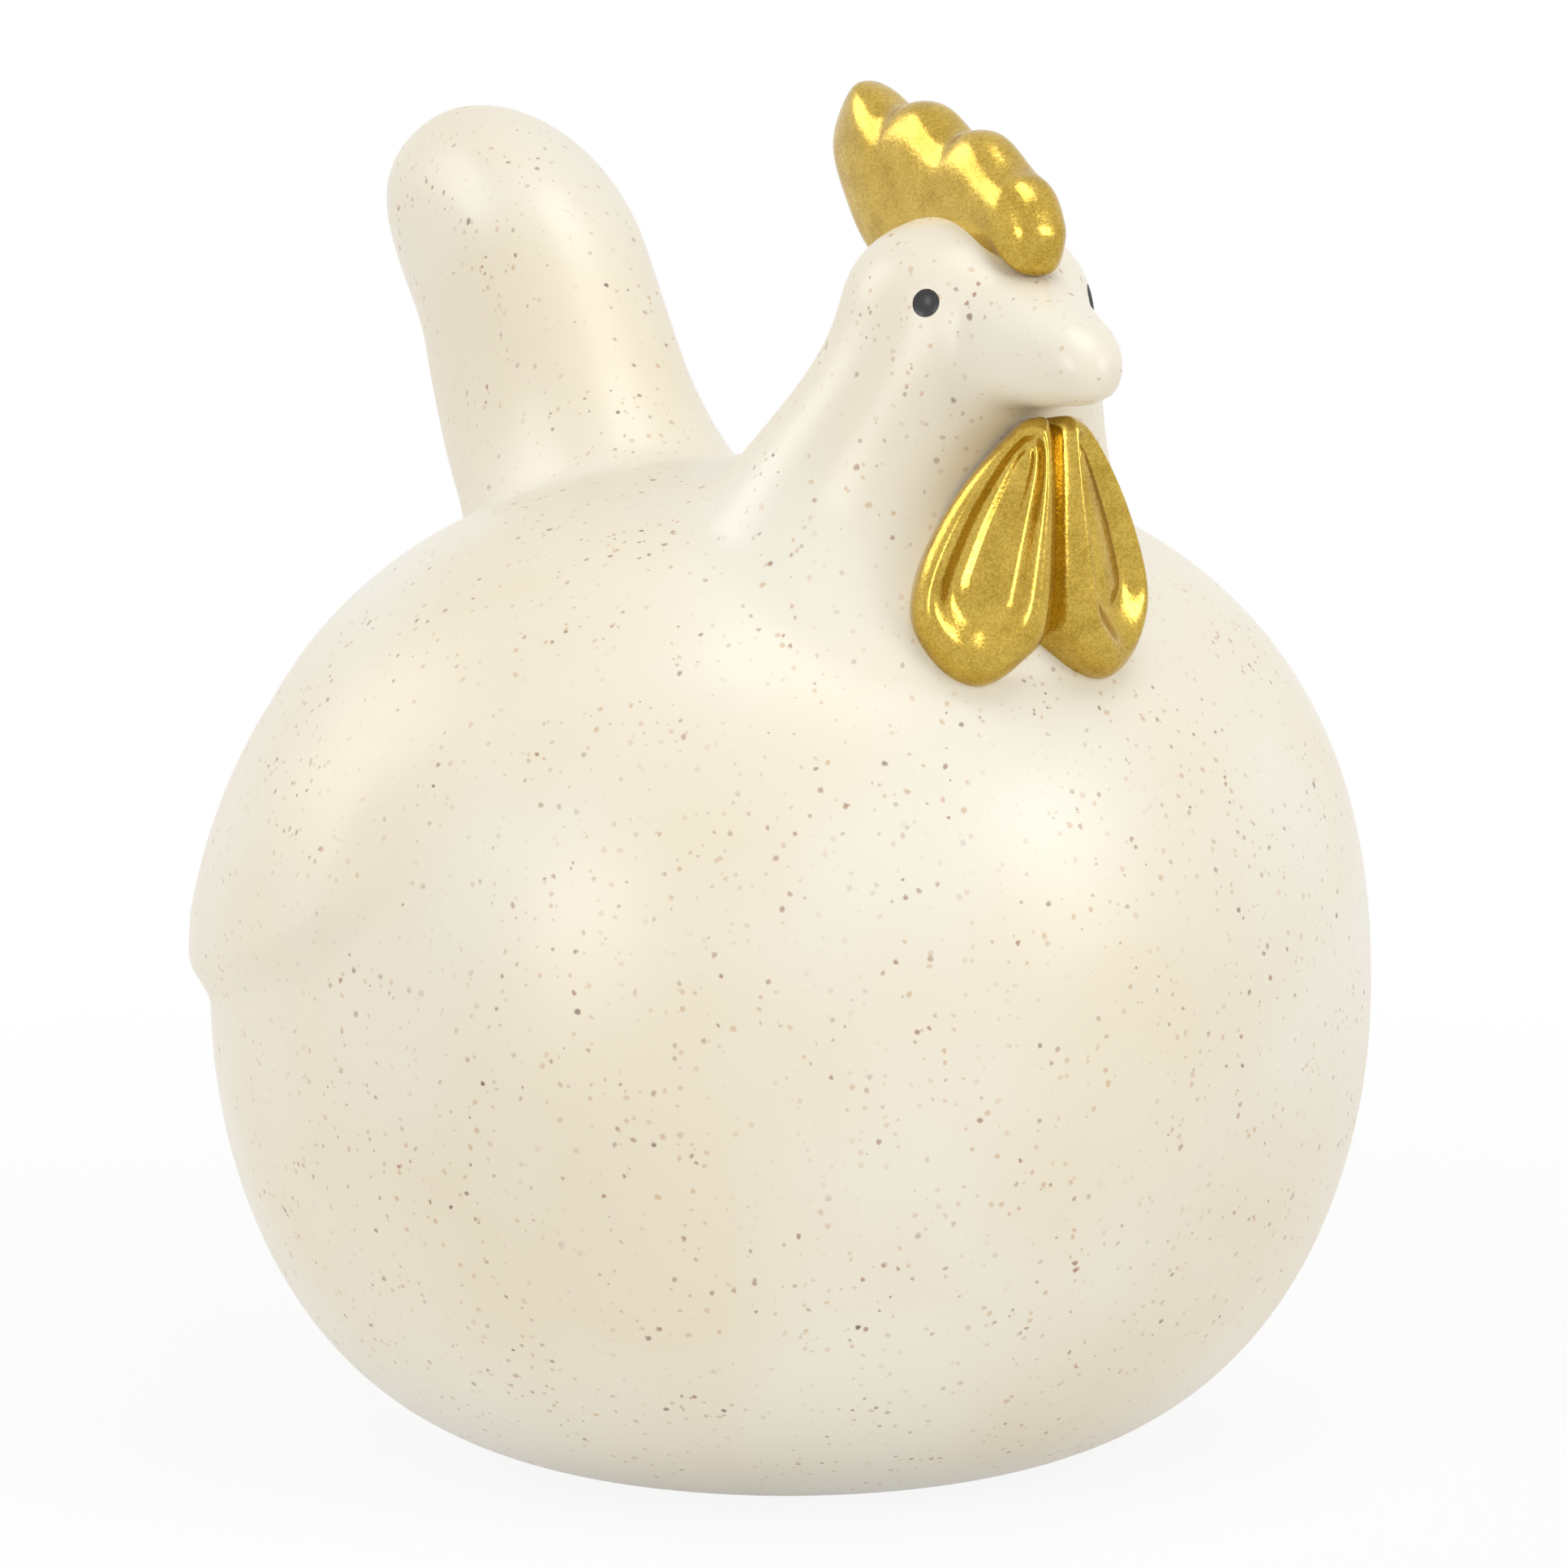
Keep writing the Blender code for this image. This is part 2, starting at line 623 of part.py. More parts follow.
def stand_on_floor(item):
    """Put the middle of the object's bounding box over the origin."""
    corners = [Vector(corner) for corner in item.bound_box]
    middle = sum(corners, Vector()) / len(corners)
    item.data.transform(Matrix.Translation((-middle.x, -middle.y, 0.0)))


def build():
    """Shape the outer clay form, add the gilded parts and the eyes, then hollow it."""
    remove_all_objects()
    glaze = finish_material("speckled_cream_glaze", GLAZE_COLOUR, 0.33, 0.0)
    gilding = finish_material("gold_lustre", GOLD_COLOUR, 0.25, 1.0)
    eye_paint = finish_material("black_eye_paint", EYE_PAINT_COLOUR, 0.45, 0.0)
    hen = body_form("hen", glaze, lambda height: 0.0)
    combine(hen, [neck_form("neck", glaze), tail_form("tail", glaze)], 'UNION')
    soften(hen, BLEND_VOXEL, 24)
    wings = [wing_form(side, glaze) for side in (-1.0, 1.0)]
    combine(hen, [beak_form(glaze)] + wings, 'UNION')
    soften(hen, BLEND_VOXEL, 8)
    thin_out(hen, OUTER_TRIANGLES)
    make_sides_match(hen)
    trim_foot(hen)
    hen.data.materials.clear()
    hen.data.materials.append(glaze)
    gilded = [comb_form(gilding)] + [wattle_form(side, gilding) for side in (-1.0, 1.0)]
    combine(hen, gilded, 'UNION')
    combine(hen, [eye_dimple(hen, side, eye_paint) for side in (-1.0, 1.0)], 'DIFFERENCE')
    combine(hen, [cavity_form(glaze), vent_hole(glaze)], 'DIFFERENCE')
    stand_on_floor(hen)
    hen.data.shade_smooth()
    hen.data.set_sharp_from_angle(angle=SHARP_EDGE_ANGLE)


build()
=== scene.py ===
"""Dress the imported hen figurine: fine casting, speckled glaze, gold lustre and a plain stage.

The forms are the ones of the solid model, lofted from the same sizes and shown with a finer
skin. All forms are first made round the body's own upright axis and then moved together so
that they stand where the solid model stands. Lengths are in metres.
"""

import math

import bmesh
import bpy
from bpy.props import FloatProperty, IntProperty, PointerProperty, StringProperty
from bpy.types import Operator, Panel, PropertyGroup
from mathutils import Matrix, Vector


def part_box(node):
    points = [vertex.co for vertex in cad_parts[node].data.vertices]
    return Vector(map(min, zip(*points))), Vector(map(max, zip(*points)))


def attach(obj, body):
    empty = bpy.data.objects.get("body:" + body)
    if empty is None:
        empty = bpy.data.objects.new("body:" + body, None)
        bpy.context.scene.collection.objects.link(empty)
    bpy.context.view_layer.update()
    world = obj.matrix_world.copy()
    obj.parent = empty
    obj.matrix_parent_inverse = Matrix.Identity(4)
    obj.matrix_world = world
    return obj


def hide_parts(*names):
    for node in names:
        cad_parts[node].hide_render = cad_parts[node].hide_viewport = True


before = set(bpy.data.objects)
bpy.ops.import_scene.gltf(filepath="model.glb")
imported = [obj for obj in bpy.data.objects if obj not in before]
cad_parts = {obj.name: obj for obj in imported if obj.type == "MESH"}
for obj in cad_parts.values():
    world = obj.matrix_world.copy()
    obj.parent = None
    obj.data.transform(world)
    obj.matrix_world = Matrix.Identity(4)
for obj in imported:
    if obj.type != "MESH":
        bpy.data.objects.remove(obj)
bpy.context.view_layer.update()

bl_info = {
    "name": "Hen Figurine",
    "version": (1, 0, 0),
    "blender": (4, 5, 0),
    "location": "3D View > Sidebar > Hen",
    "description": "Makes a slip-cast hen in speckled cream glaze with a gilded comb and wattles",
    "category": "Object",
}

MM = 0.001
CAD_LOW, CAD_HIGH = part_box("hen")
NODE = "hen"
BODY_LAST_RING = 0.998
BEAK_LAST_RING = 0.985
PLUMP_INNERMOST = 0.85
PLUMP_RIM_CROWDING = 1.5
NECK_AND_TAIL_JOINT = 4.9 * MM
BEAK_JOINT = 2.8 * MM
HOLLOW_VOXEL = 2.0 * MM
HOLLOW_JOINT = 4.0 * MM
COMB_RELAX_PASSES = 16
WATTLE_RELAX_PASSES = 24
CASTING_SHARP_DEGREES = 50.0
GILDING_SHARP_DEGREES = 60.0
FLOOR_RADIUS = 6.0

# Comb and wattles in shares of their own length and height
COMB_NOTCH_SHARES = (0.30, 0.60, 0.85)
COMB_LOBE_PARTS = (0.3, 0.6, 1.0)
COMB_REAR_EDGE = ((0.55, -0.33), (0.22, 0.00), (0.07, 0.35), (0.00, 0.68))
COMB_BROW_EDGE = (
    (0.915, 0.51),
    (0.955, 0.43),
    (0.985, 0.31),
    (1.00, 0.18),
    (0.955, -0.02),
    (0.84, 0.05),
)
COMB_SPINE = ((0.32, 0.45), (0.61, 0.35), (0.86, 0.25))
WATTLE_OUTLINE = (
    (0.00, 0.92),
    (0.15, 1.00),
    (0.35, 0.92),
    (0.67, 0.72),
    (0.92, 0.46),
    (0.98, 0.24),
    (0.78, 0.06),
    (0.50, 0.00),
    (0.22, 0.09),
    (0.00, 0.28),
)
WATTLE_SPINE = ((0.20, 0.84), (0.38, 0.60), (0.49, 0.42))

# Soft lamps: name, direction right, up and toward the camera, distance and size in metres, watts
LAMPS = (
    ("right_soft_box", (0.78, 0.27, 0.57), 0.9, (0.34, 0.50), 2.3),
    ("left_soft_box", (-0.62, 0.05, 0.78), 0.9, (0.30, 0.46), 2.1),
    ("top_soft_box", (0.15, 0.92, 0.30), 1.1, (0.7, 0.7), 4.4),
    ("rear_left_soft_box", (-0.80, 0.50, -0.25), 1.1, (0.5, 0.5), 1.9),
)


def length(name, description, millimetres):
    """A length that a user may change, given in millimetres and kept in metres."""
    return FloatProperty(
        name=name, description=description, default=millimetres * MM, unit='LENGTH', precision=5
    )


def ratio(name, description, default):
    """A plain number that a user may change."""
    return FloatProperty(name=name, description=description, default=default, precision=3)


def angle(name, description, degrees):
    """An angle that a user may change."""
    return FloatProperty(
        name=name, description=description, default=math.radians(degrees), subtype='ANGLE'
    )


def hex_colour(name, description, default):
    """A colour that a user may change, as an sRGB hex value."""
    return StringProperty(name=name, description=description, default=default)


class HenBodySizes(PropertyGroup):
    """Egg of the body on its flat foot."""

    half_width: length("Half Width", "Half of the body's width", 51.0)
    half_length: length("Half Length", "Half of the body's length", 50.2)
    top: length("Top", "Height of the back", 87.2)
    widest_height: length("Widest Height", "Height at which the body is widest", 40.5)
    lower_taper: ratio("Lower Taper", "How late the body starts to narrow below", 1.95)
    lower_fullness: ratio("Lower Fullness", "How full the body is above its foot", 3.4)
    upper_fullness: ratio("Upper Fullness", "How full the body is above; 2 is an ellipse", 2.38)
    foot_radius: length("Foot Radius", "Radius of the flat foot", 22.3)
    foot_trim: length("Foot Trim", "Depth that is sliced off to make the foot flat", 0.5)
    wall: length("Wall", "Thickness that the slip leaves in the mould", 4.0)
    vent_diameter: length("Vent", "Diameter of the drain and vent hole in the foot", 11.0)


class HenHeadSizes(PropertyGroup):
    """Neck and head, one cone that leans forward and ends in a dome."""

    half_width: length("Head Half Width", "Half of the head's width", 10.6)
    half_length: length("Head Half Length", "Half of the head's length", 10.8)
    forward: length("Head Forward", "How far the head lies forward of the body's axis", 29.2)
    widest_height: length("Dome Base", "Height at which the dome of the head starts", 102.0)
    top: length("Head Top", "Height of the crown", 109.7)
    root_half_width: length("Root Half Width", "Half of the neck's width at its root", 25.0)
    root_half_length: length("Root Half Length", "Half of the neck's length at its root", 21.5)
    root_forward: length("Root Forward", "How far the neck's root lies forward", 20.0)
    root_height: length("Root Height", "Height at which the neck starts inside the body", 73.5)
    flare_power: ratio("Flare", "How fast the neck widens towards its root", 1.3)
    lean_end: ratio("Lean", "Share of the neck's height over which it leans", 0.7)


class HenTailSizes(PropertyGroup):
    """Tail paddle with two feather lobes along its rear edge."""

    half_thickness: length("Half Thickness", "Half of the tail's thickness", 8.8)
    half_length: length("Half Length", "Half of the tail's length along the body", 15.4)
    top: length("Top", "Height of the tail", 116.6)
    dome_height: length("Dome", "Height of the rounded end", 12.3)
    straight_height: length("Straight Height", "Height above which the tail no longer flares", 95.5)
    root_height: length("Root Height", "Height at which the tail starts inside the body", 66.0)
    root_flare: ratio("Root Flare", "How much the root widens", 1.3)
    back: length("Back", "How far the tail lies behind the body's axis where it straightens", 43.8)
    lean: angle("Lean", "Backward lean from upright", 34.0)
    squareness: ratio("Squareness", "How boxy the tail's section is; 2 is an ellipse", 2.6)
    upper_feather: length("Upper Feather", "Middle height of the upper feather lobe", 103.8)
    upper_half: length("Upper Half Height", "Half of the upper lobe's height", 9.4)
    upper_bulge: length("Upper Bulge", "How far the upper lobe bulges", 2.8)
    lower_feather: length("Lower Feather", "Middle height of the lower feather lobe", 88.2)
    lower_half: length("Lower Half Height", "Half of the lower lobe's height", 8.2)
    lower_bulge: length("Lower Bulge", "How far the lower lobe bulges", 3.3)


class HenBeakSizes(PropertyGroup):
    """Stubby cone of the beak."""

    tip_forward: length("Tip Forward", "How far the tip lies forward of the body's axis", 51.0)
    tip_height: length("Tip Height", "Height of the tip", 97.2)
    tip_radius: length("Tip Radius", "Radius of the rounded tip", 2.6)
    root_forward: length("Root Forward", "Where the beak starts inside the head", 34.0)
    root_height: length("Root Height", "Height of the beak's middle at its root", 100.2)
    root_half_width: length("Root Half Width", "Half of the root's width", 7.4)
    root_half_height: length("Root Half Height", "Half of the root's height", 6.9)
    squareness: ratio("Squareness", "How boxy the beak's section is", 2.4)
    tip_round: ratio("Tip Round", "Share of the beak over which its end rounds off", 0.2)


class HenEyeSizes(PropertyGroup):
    """Shallow painted dimples."""

    diameter: length("Diameter", "Diameter of the painted dimple", 2.5)
    depth: length("Depth", "Depth of the dimple", 0.45)
    height: length("Height", "Height of the eye", 102.4)
    bearing: angle("Bearing", "Angle of the eye round the head from straight ahead", 50.0)


class HenWingSizes(PropertyGroup):
    """Low relief of the wings."""

    relief: length("Relief", "Height of the relief at the wing's lower edge", 1.9)
    edge_width: length("Edge Width", "Width of the rounded edge of the relief", 4.5)
    fade_low: length("Fade Low", "Height at which the relief starts to fade", 48.0)
    fade_high: length("Fade High", "Height at which the relief has gone", 66.0)
    front: length("Front", "How far the wing reaches forward of the body's axis", 17.5)
    rear: length("Rear", "How far the wing reaches back", 40.0)
    front_height: length("Front Height", "Height of the wing's front end", 60.0)
    rear_height: length("Rear Height", "Height of the wing's rear end", 51.0)
    drop: length("Drop", "How far the lower edge hangs below the wing's axis", 12.5)


class HenCombSizes(PropertyGroup):
    """Thick plate along the crown whose lobes step down to the brow."""

    thickness: length("Thickness", "Thickness of the comb", 6.4)
    fullness: ratio("Fullness", "How full the comb's faces are; 2 is an ellipse", 2.4)
    rear: length("Rear", "Forward distance of the comb's rear end", 8.9)
    front: length("Front", "Forward distance of the comb's front end", 42.0)
    root_height: length("Root Height", "Height of the root's ends", 104.8)
    rise: length("Rise", "How far the rear lobe rises above the root", 15.2)
    fall: length("Fall", "How far the crest falls from its rear to its front", 7.0)
    fall_power: ratio("Fall Power", "How late the crest falls", 1.85)
    notch: length("Notch Depth", "Depth of the notch between two lobes", 1.3)


class HenWattleSizes(PropertyGroup):
    """Mirrored teardrop lobes, each turned to its side with a leaf-shaped dish."""

    top: length("Top", "Height of the wattles' top", 93.3)
    bottom: length("Bottom", "Height of the wattles' lowest point", 71.0)
    width: length("Width", "Width of one lobe", 12.0)
    swell: length("Swell", "How far the lobe's face swells in front of its rim", 4.5)
    thinning: ratio("Top Thinning", "Share by which the swell is less at the top", 0.5)
    root_depth: length("Root Depth", "How far the lobe reaches back into the breast", 9.0)
    fullness: ratio("Fullness", "How full the lobe's face is; 2 is an ellipse", 2.4)
    forward: length("Forward", "Forward distance of the lobes' inner rims", 42.9)
    turn: angle("Turn", "Angle by which each lobe turns to its side", 28.0)
    dish_depth: length("Dish Depth", "Depth of the dish in each face", 2.6)
    dish_start: ratio("Dish Start", "Share of the way to the spine where the dish starts", 0.22)
    dish_floor: ratio("Dish Floor", "Share of the way at which the dish is deepest", 0.66)
    dish_ridge: length("Dish Ridge", "Height of the ridge along the dish's spine", 0.4)
    root_tuck: ratio("Root Tuck", "Share by which the root's top draws in towards the spine", 0.5)


class HenGlazeLook(PropertyGroup):
    """Speckled cream glaze over iron-bearing stoneware."""

    ground: hex_colour("Ground", "Colour of the satin glaze", "F1EBDB")
    warm: hex_colour("Warm Ground", "Colour where the glaze lies thinner", "EEE3CB")
    faint: hex_colour("Faint Fleck", "Colour of the faint flecks deep in the glaze", "CDA577")
    brown: hex_colour("Brown Fleck", "Colour of the brown flecks", "9C6B47")
    dark: hex_colour("Dark Fleck", "Colour of the iron spots that break through", "6A4633")
    clay: hex_colour("Bare Clay", "Colour of the unglazed foot and hollow", "E3D8C4")
    sand: hex_colour("Sandy Clay", "Colour of the sandier grains in the bare clay", "C9B79A")
    roughness: ratio("Roughness", "Roughness of the satin glaze", 0.33)


class HenGoldLook(PropertyGroup):
    """Gold lustre brushed on and fired."""

    metal: hex_colour("Metal", "Colour of the gold", "D6B757")
    deep: hex_colour("Deep", "Colour of the gold where the coat is thin", "937119")
    roughness: ratio("Roughness", "Roughness of the lustre", 0.19)
    paint: hex_colour("Eye Paint", "Colour of the black in the eyes", "1B1A1A")
    stroke: hex_colour("Eye Stroke", "Colour of the thin strokes in the black", "3A3939")


class HenStageLook(PropertyGroup):
    """Pale floor, soft lamps and the camera's place."""

    azimuth: angle("Azimuth", "Camera's bearing from the front, towards +X", -30.0)
    elevation: angle("Elevation", "Camera's height angle", 7.0)
    distance: length("Distance", "From the camera to the hen", 620.0)
    target_height: length("Target Height", "Height that the camera looks at", 58.5)
    focal_length: ratio("Focal Length", "Lens in millimetres on a 36 mm sensor", 162.9)
    shift: ratio("Shift", "Sideways lens shift as a share of the frame", -0.0049)
    floor: hex_colour("Floor", "Colour of the floor", "EDEDED")
    floor_gap: length("Floor Gap", "Hair's breadth between foot and floor", 0.03)
    surround: ratio("Surround", "Strength of the white room's light", 0.41)
    whiteness: ratio("Whiteness", "How far the floor by the hen is lit up to plain white", 0.90)
    fade_start: length("Fade Start", "Distance from the hen where the floor turns whiter", 80.0)
    fade_end: length("Fade End", "Distance at which the floor is plain white", 300.0)


class HenFigurineSettings(PropertyGroup):
    """All sizes and colours of the figurine."""

    body: PointerProperty(type=HenBodySizes)
    head: PointerProperty(type=HenHeadSizes)
    tail: PointerProperty(type=HenTailSizes)
    beak: PointerProperty(type=HenBeakSizes)
    eye: PointerProperty(type=HenEyeSizes)
    wing: PointerProperty(type=HenWingSizes)
    comb: PointerProperty(type=HenCombSizes)
    wattle: PointerProperty(type=HenWattleSizes)
    glaze: PointerProperty(type=HenGlazeLook)
    gold: PointerProperty(type=HenGoldLook)
    stage: PointerProperty(type=HenStageLook)
    ring_points: IntProperty(
        name="Ring Points", description="Points round each loft ring", default=144
    )
    skin_voxel: length("Skin Voxel", "Grid size of the casting's even skin", 0.8)
    axis_place: length("Axis Place", "Where the body's own axis stands along Y", 0.0)


# Mesh helpers

def object_from_bmesh(name, bm):
    """Link a closed bmesh with outward faces as an object."""
    bmesh.ops.recalc_face_normals(bm, faces=bm.faces)
    mesh = bpy.data.meshes.new(name)
    bm.to_mesh(mesh)
    bm.free()
    item = bpy.data.objects.new(name, mesh)
    bpy.context.collection.objects.link(item)
    return item


def apply_modifiers(item):
    """Turn the object's evaluated shape into its own mesh."""
    graph = bpy.context.evaluated_depsgraph_get()
    mesh = bpy.data.meshes.new_from_object(item.evaluated_get(graph))
    old_mesh = item.data
    item.modifiers.clear()
    item.data = mesh
    mesh.name = item.name
    bpy.data.meshes.remove(old_mesh)


def combine(item, others, operation):
    """Join or cut an object by others, which are used up."""
    for other in others:
        modifier = item.modifiers.new(operation.title(), 'BOOLEAN')
        modifier.operation = operation
        modifier.solver = 'EXACT'
        modifier.material_mode = 'TRANSFER'
        modifier.object = other
        apply_modifiers(item)
        bpy.data.objects.remove(other, do_unlink=True)


def soften(item, voxel, reach):
    """Melt the joints of a clay form; reach is the width over which corners round off."""
    remesh = item.modifiers.new("Even skin", 'REMESH')
    remesh.mode = 'VOXEL'
    remesh.voxel_size = voxel
    smooth = item.modifiers.new("Soft joints", 'SMOOTH')
    smooth.factor = 0.5
    smooth.iterations = round((reach / voxel) ** 2)
    apply_modifiers(item)


def relax(item, passes):
    """Even out the creases of a formed skin."""
    smooth = item.modifiers.new("Soft creases", 'SMOOTH')
    smooth.factor = 0.5
    smooth.iterations = passes
    apply_modifiers(item)


def signed_power(value, power):
    """Power that keeps the sign of its base."""
    return math.copysign(abs(value) ** power, value)


def dome_share(part_of_height, fullness):
    """Radius share at a part of a dome's height, from 1 at its base to 0 at its top."""
    return max(0.0, 1.0 - part_of_height ** fullness) ** (1.0 / fullness)


def smoothstep(value):
    """Ease from 0 to 1 with level ends."""
    clamped = min(1.0, max(0.0, value))
    return clamped * clamped * (3.0 - 2.0 * clamped)


def superellipse(half_width, half_length, squareness, count):
    """Points of a closed superellipse; squareness 2 is an ellipse and more is boxier."""
    points = []
    for index in range(count):
        turn = math.tau * index / count
        across = half_width * signed_power(math.cos(turn), 2.0 / squareness)
        along = half_length * signed_power(math.sin(turn), 2.0 / squareness)
        points.append((across, along))
    return points


def loft(name, rings):
    """Closed skin through rings of equal point count, bridged in order and capped."""
    bm = bmesh.new()
    edges = []
    for ring in rings:
        verts = [bm.verts.new(point) for point in ring]
        for index, vert in enumerate(verts):
            edges.append(bm.edges.new((vert, verts[index - 1])))
        if ring is rings[0] or ring is rings[-1]:
            bm.faces.new(verts)
    count = len(rings[0])
    for step in range(len(rings) - 1):
        bmesh.ops.bridge_loops(bm, edges=edges[step * count:(step + 2) * count])
    return object_from_bmesh(name, bm)


def level_ring(forward, height, half_width, half_length, squareness, count):
    """Horizontal section whose centre lies a distance forward of the body's axis."""
    outline = superellipse(half_width, half_length, squareness, count)
    return [Vector((across, along - forward, height)) for across, along in outline]


# Forms of the casting

def body_share(height, body):
    """Radius of the body at a height, as a share of its largest radius."""
    if height >= body.widest_height:
        rise = (height - body.widest_height) / (body.top - body.widest_height)
        return dome_share(rise, body.upper_fullness)
    foot_share = 2.0 * body.foot_radius / (body.half_width + body.half_length)
    foot_loss = 1.0 - foot_share ** body.lower_fullness
    drop = (body.widest_height - height) / body.widest_height
    loss = foot_loss * drop ** body.lower_taper
    return max(0.0, 1.0 - loss) ** (1.0 / body.lower_fullness)


def egg(name, body, low, high, inset, steps, count):
    """Egg of the body between two heights, an inset smaller all round."""
    smallest = 0.2 * MM
    rings = []
    for step in range(steps + 1):
        height = low + (high - low) * (0.5 - 0.5 * math.cos(math.pi * step / steps))
        share = body_share(min(BODY_LAST_RING * body.top, height), body)
        half_width = max(smallest, share * body.half_width - inset)
        half_length = max(smallest, share * body.half_length - inset)
        rings.append(level_ring(0.0, height, half_width, half_length, 2.0, count))
    return loft(name, rings)


def neck(name, head, inset, steps, count):
    """Neck that rises from the back and ends in the dome of the head."""
    rings = []
    for step in range(steps + 1):
        rise = step / steps
        height = head.root_height + rise * (head.widest_height - head.root_height)
        drop = 1.0 - rise
        spread = drop ** head.flare_power
        lean = smoothstep(drop / head.lean_end)
        half_width = head.half_width + spread * (head.root_half_width - head.half_width)
        half_length = head.half_length + spread * (head.root_half_length - head.half_length)
        forward = head.forward + lean * (head.root_forward - head.forward)
        half_width -= inset
        half_length -= inset
        rings.append(level_ring(forward, height, half_width, half_length, 2.0, count))
    dome_steps = steps // 2
    dome_height = head.top - head.widest_height - inset
    for step in range(1, dome_steps):
        turn = 0.5 * math.pi * step / dome_steps
        share = math.cos(turn)
        height = head.widest_height + dome_height * math.sin(turn)
        half_width = share * (head.half_width - inset)
        half_length = share * (head.half_length - inset)
        rings.append(level_ring(head.forward, height, half_width, half_length, 2.0, count))
    return loft(name, rings)


def feather_bulge(height, tail):
    """How far the rear edge of the tail bulges at a height, over its two feather lobes."""
    upper = tail.upper_bulge * dome_share(abs((height - tail.upper_feather) / tail.upper_half), 2.0)
    lower = tail.lower_bulge * dome_share(abs((height - tail.lower_feather) / tail.lower_half), 2.0)
    return max(upper, lower)


def tail_paddle(name, tail, inset, steps, count):
    """Tail: a root that flares sideways and forward, a lobed shaft and a domed end."""
    rings = []
    shaft_top = tail.top - tail.dome_height
    dome_steps = steps // 4
    for step in range(steps + dome_steps):
        turn = 0.5 * math.pi * max(0, step - steps) / dome_steps
        climb = min(1.0, step / steps)
        height = tail.root_height + climb * (shaft_top - tail.root_height)
        height += (tail.dome_height - inset) * math.sin(turn)
        reach = max(0.0, tail.straight_height - height) / (tail.straight_height - tail.root_height)
        flare = tail.root_flare * reach ** 2
        front_gain = flare * tail.half_length
        rear_gain = feather_bulge(height, tail)
        centre = -tail.back - (height - tail.straight_height) * math.tan(tail.lean)
        half_width = math.cos(turn) * ((1.0 + flare) * tail.half_thickness - inset)
        half_length = tail.half_length + 0.5 * (front_gain + rear_gain) - inset
        half_length *= math.cos(turn)
        forward = centre + 0.5 * (front_gain - rear_gain)
        rings.append(level_ring(forward, height, half_width, half_length, tail.squareness, count))
    return loft(name, rings)


def beak_cone(beak, steps, count):
    """Beak: upright sections that shrink to a rounded tip."""
    rings = []
    for step in range(steps):
        reach = math.sin(0.5 * math.pi * BEAK_LAST_RING * step / (steps - 1))
        taper = 1.0 - reach
        end_round = dome_share(max(0.0, 1.0 - taper / beak.tip_round), 2.0)
        half_width = beak.tip_radius + taper * (beak.root_half_width - beak.tip_radius)
        half_height = beak.tip_radius + taper * (beak.root_half_height - beak.tip_radius)
        height = beak.root_height + reach * (beak.tip_height - beak.root_height)
        forward = beak.root_forward + reach * (beak.tip_forward - beak.root_forward)
        half_width *= end_round
        half_height *= end_round
        outline = superellipse(half_width, half_height, beak.squareness, count)
        rings.append([Vector((across, -forward, height + up)) for across, up in outline])
    return loft("beak", rings)


def raise_wings(casting, wing):
    """Swell both flanks outward into wings that stand proud at their lower edge."""
    middle = 0.5 * (wing.front - wing.rear)
    half_run = 0.5 * (wing.front + wing.rear)
    for vert in casting.data.vertices:
        across, along, height = vert.co
        run = (-along - middle) / half_run
        if abs(run) >= 1.0 or height > wing.fade_high or abs(across) < 0.5 * half_run:
            continue
        toward_front = 0.5 + 0.5 * run
        axis_height = wing.rear_height + toward_front * (wing.front_height - wing.rear_height)
        lower_edge = axis_height - wing.drop * math.sqrt(1.0 - run * run)
        end_distance = (1.0 - abs(run)) * half_run
        edge = smoothstep((height - lower_edge) / wing.edge_width + 0.5)
        ends = smoothstep(end_distance / (2.0 * wing.edge_width))
        fade = 1.0 - min(1.0, max(0.0, (height - wing.fade_low) / (wing.fade_high - wing.fade_low)))
        swell = wing.relief * edge * ends * fade
        outward = Vector((across, along, 0.0)).normalized()
        vert.co += swell * outward


def eye_ball(casting, side, head, eye):
    """Ball whose cut leaves a round dimple where the eye's bearing meets the head."""
    radius = (0.25 * eye.diameter ** 2 + eye.depth ** 2) / (2.0 * eye.depth)
    outward = Vector((side * math.sin(eye.bearing), -math.cos(eye.bearing), 0.0))
    head_centre = Vector((0.0, -head.forward, eye.height))
    surface, normal = casting.ray_cast(head_centre + 3.0 * head.half_width * outward, -outward)[1:3]
    bm = bmesh.new()
    bmesh.ops.create_uvsphere(bm, u_segments=96, v_segments=64, radius=radius)
    bmesh.ops.translate(bm, vec=surface + normal * (radius - eye.depth), verts=bm.verts)
    return object_from_bmesh("eye_ball", bm)


def hollow(settings):
    """Inside of the casting: the outer forms, each smaller by the wall."""
    body = settings.body
    space = egg("hollow", body, body.wall, body.top - body.wall, body.wall, 32, 72)
    parts = [
        neck("neck_hollow", settings.head, body.wall, 16, 72),
        tail_paddle("tail_hollow", settings.tail, body.wall, 24, 72),
    ]
    combine(space, parts, 'UNION')
    soften(space, HOLLOW_VOXEL, HOLLOW_JOINT)
    return space


def vent_drill(body):
    """Cutter for the hole through the foot."""
    bm = bmesh.new()
    radius = 0.5 * body.vent_diameter
    bmesh.ops.create_cone(
        bm, cap_ends=True, segments=96, radius1=radius, radius2=radius, depth=6.0 * body.wall
    )
    return object_from_bmesh("vent_drill", bm)


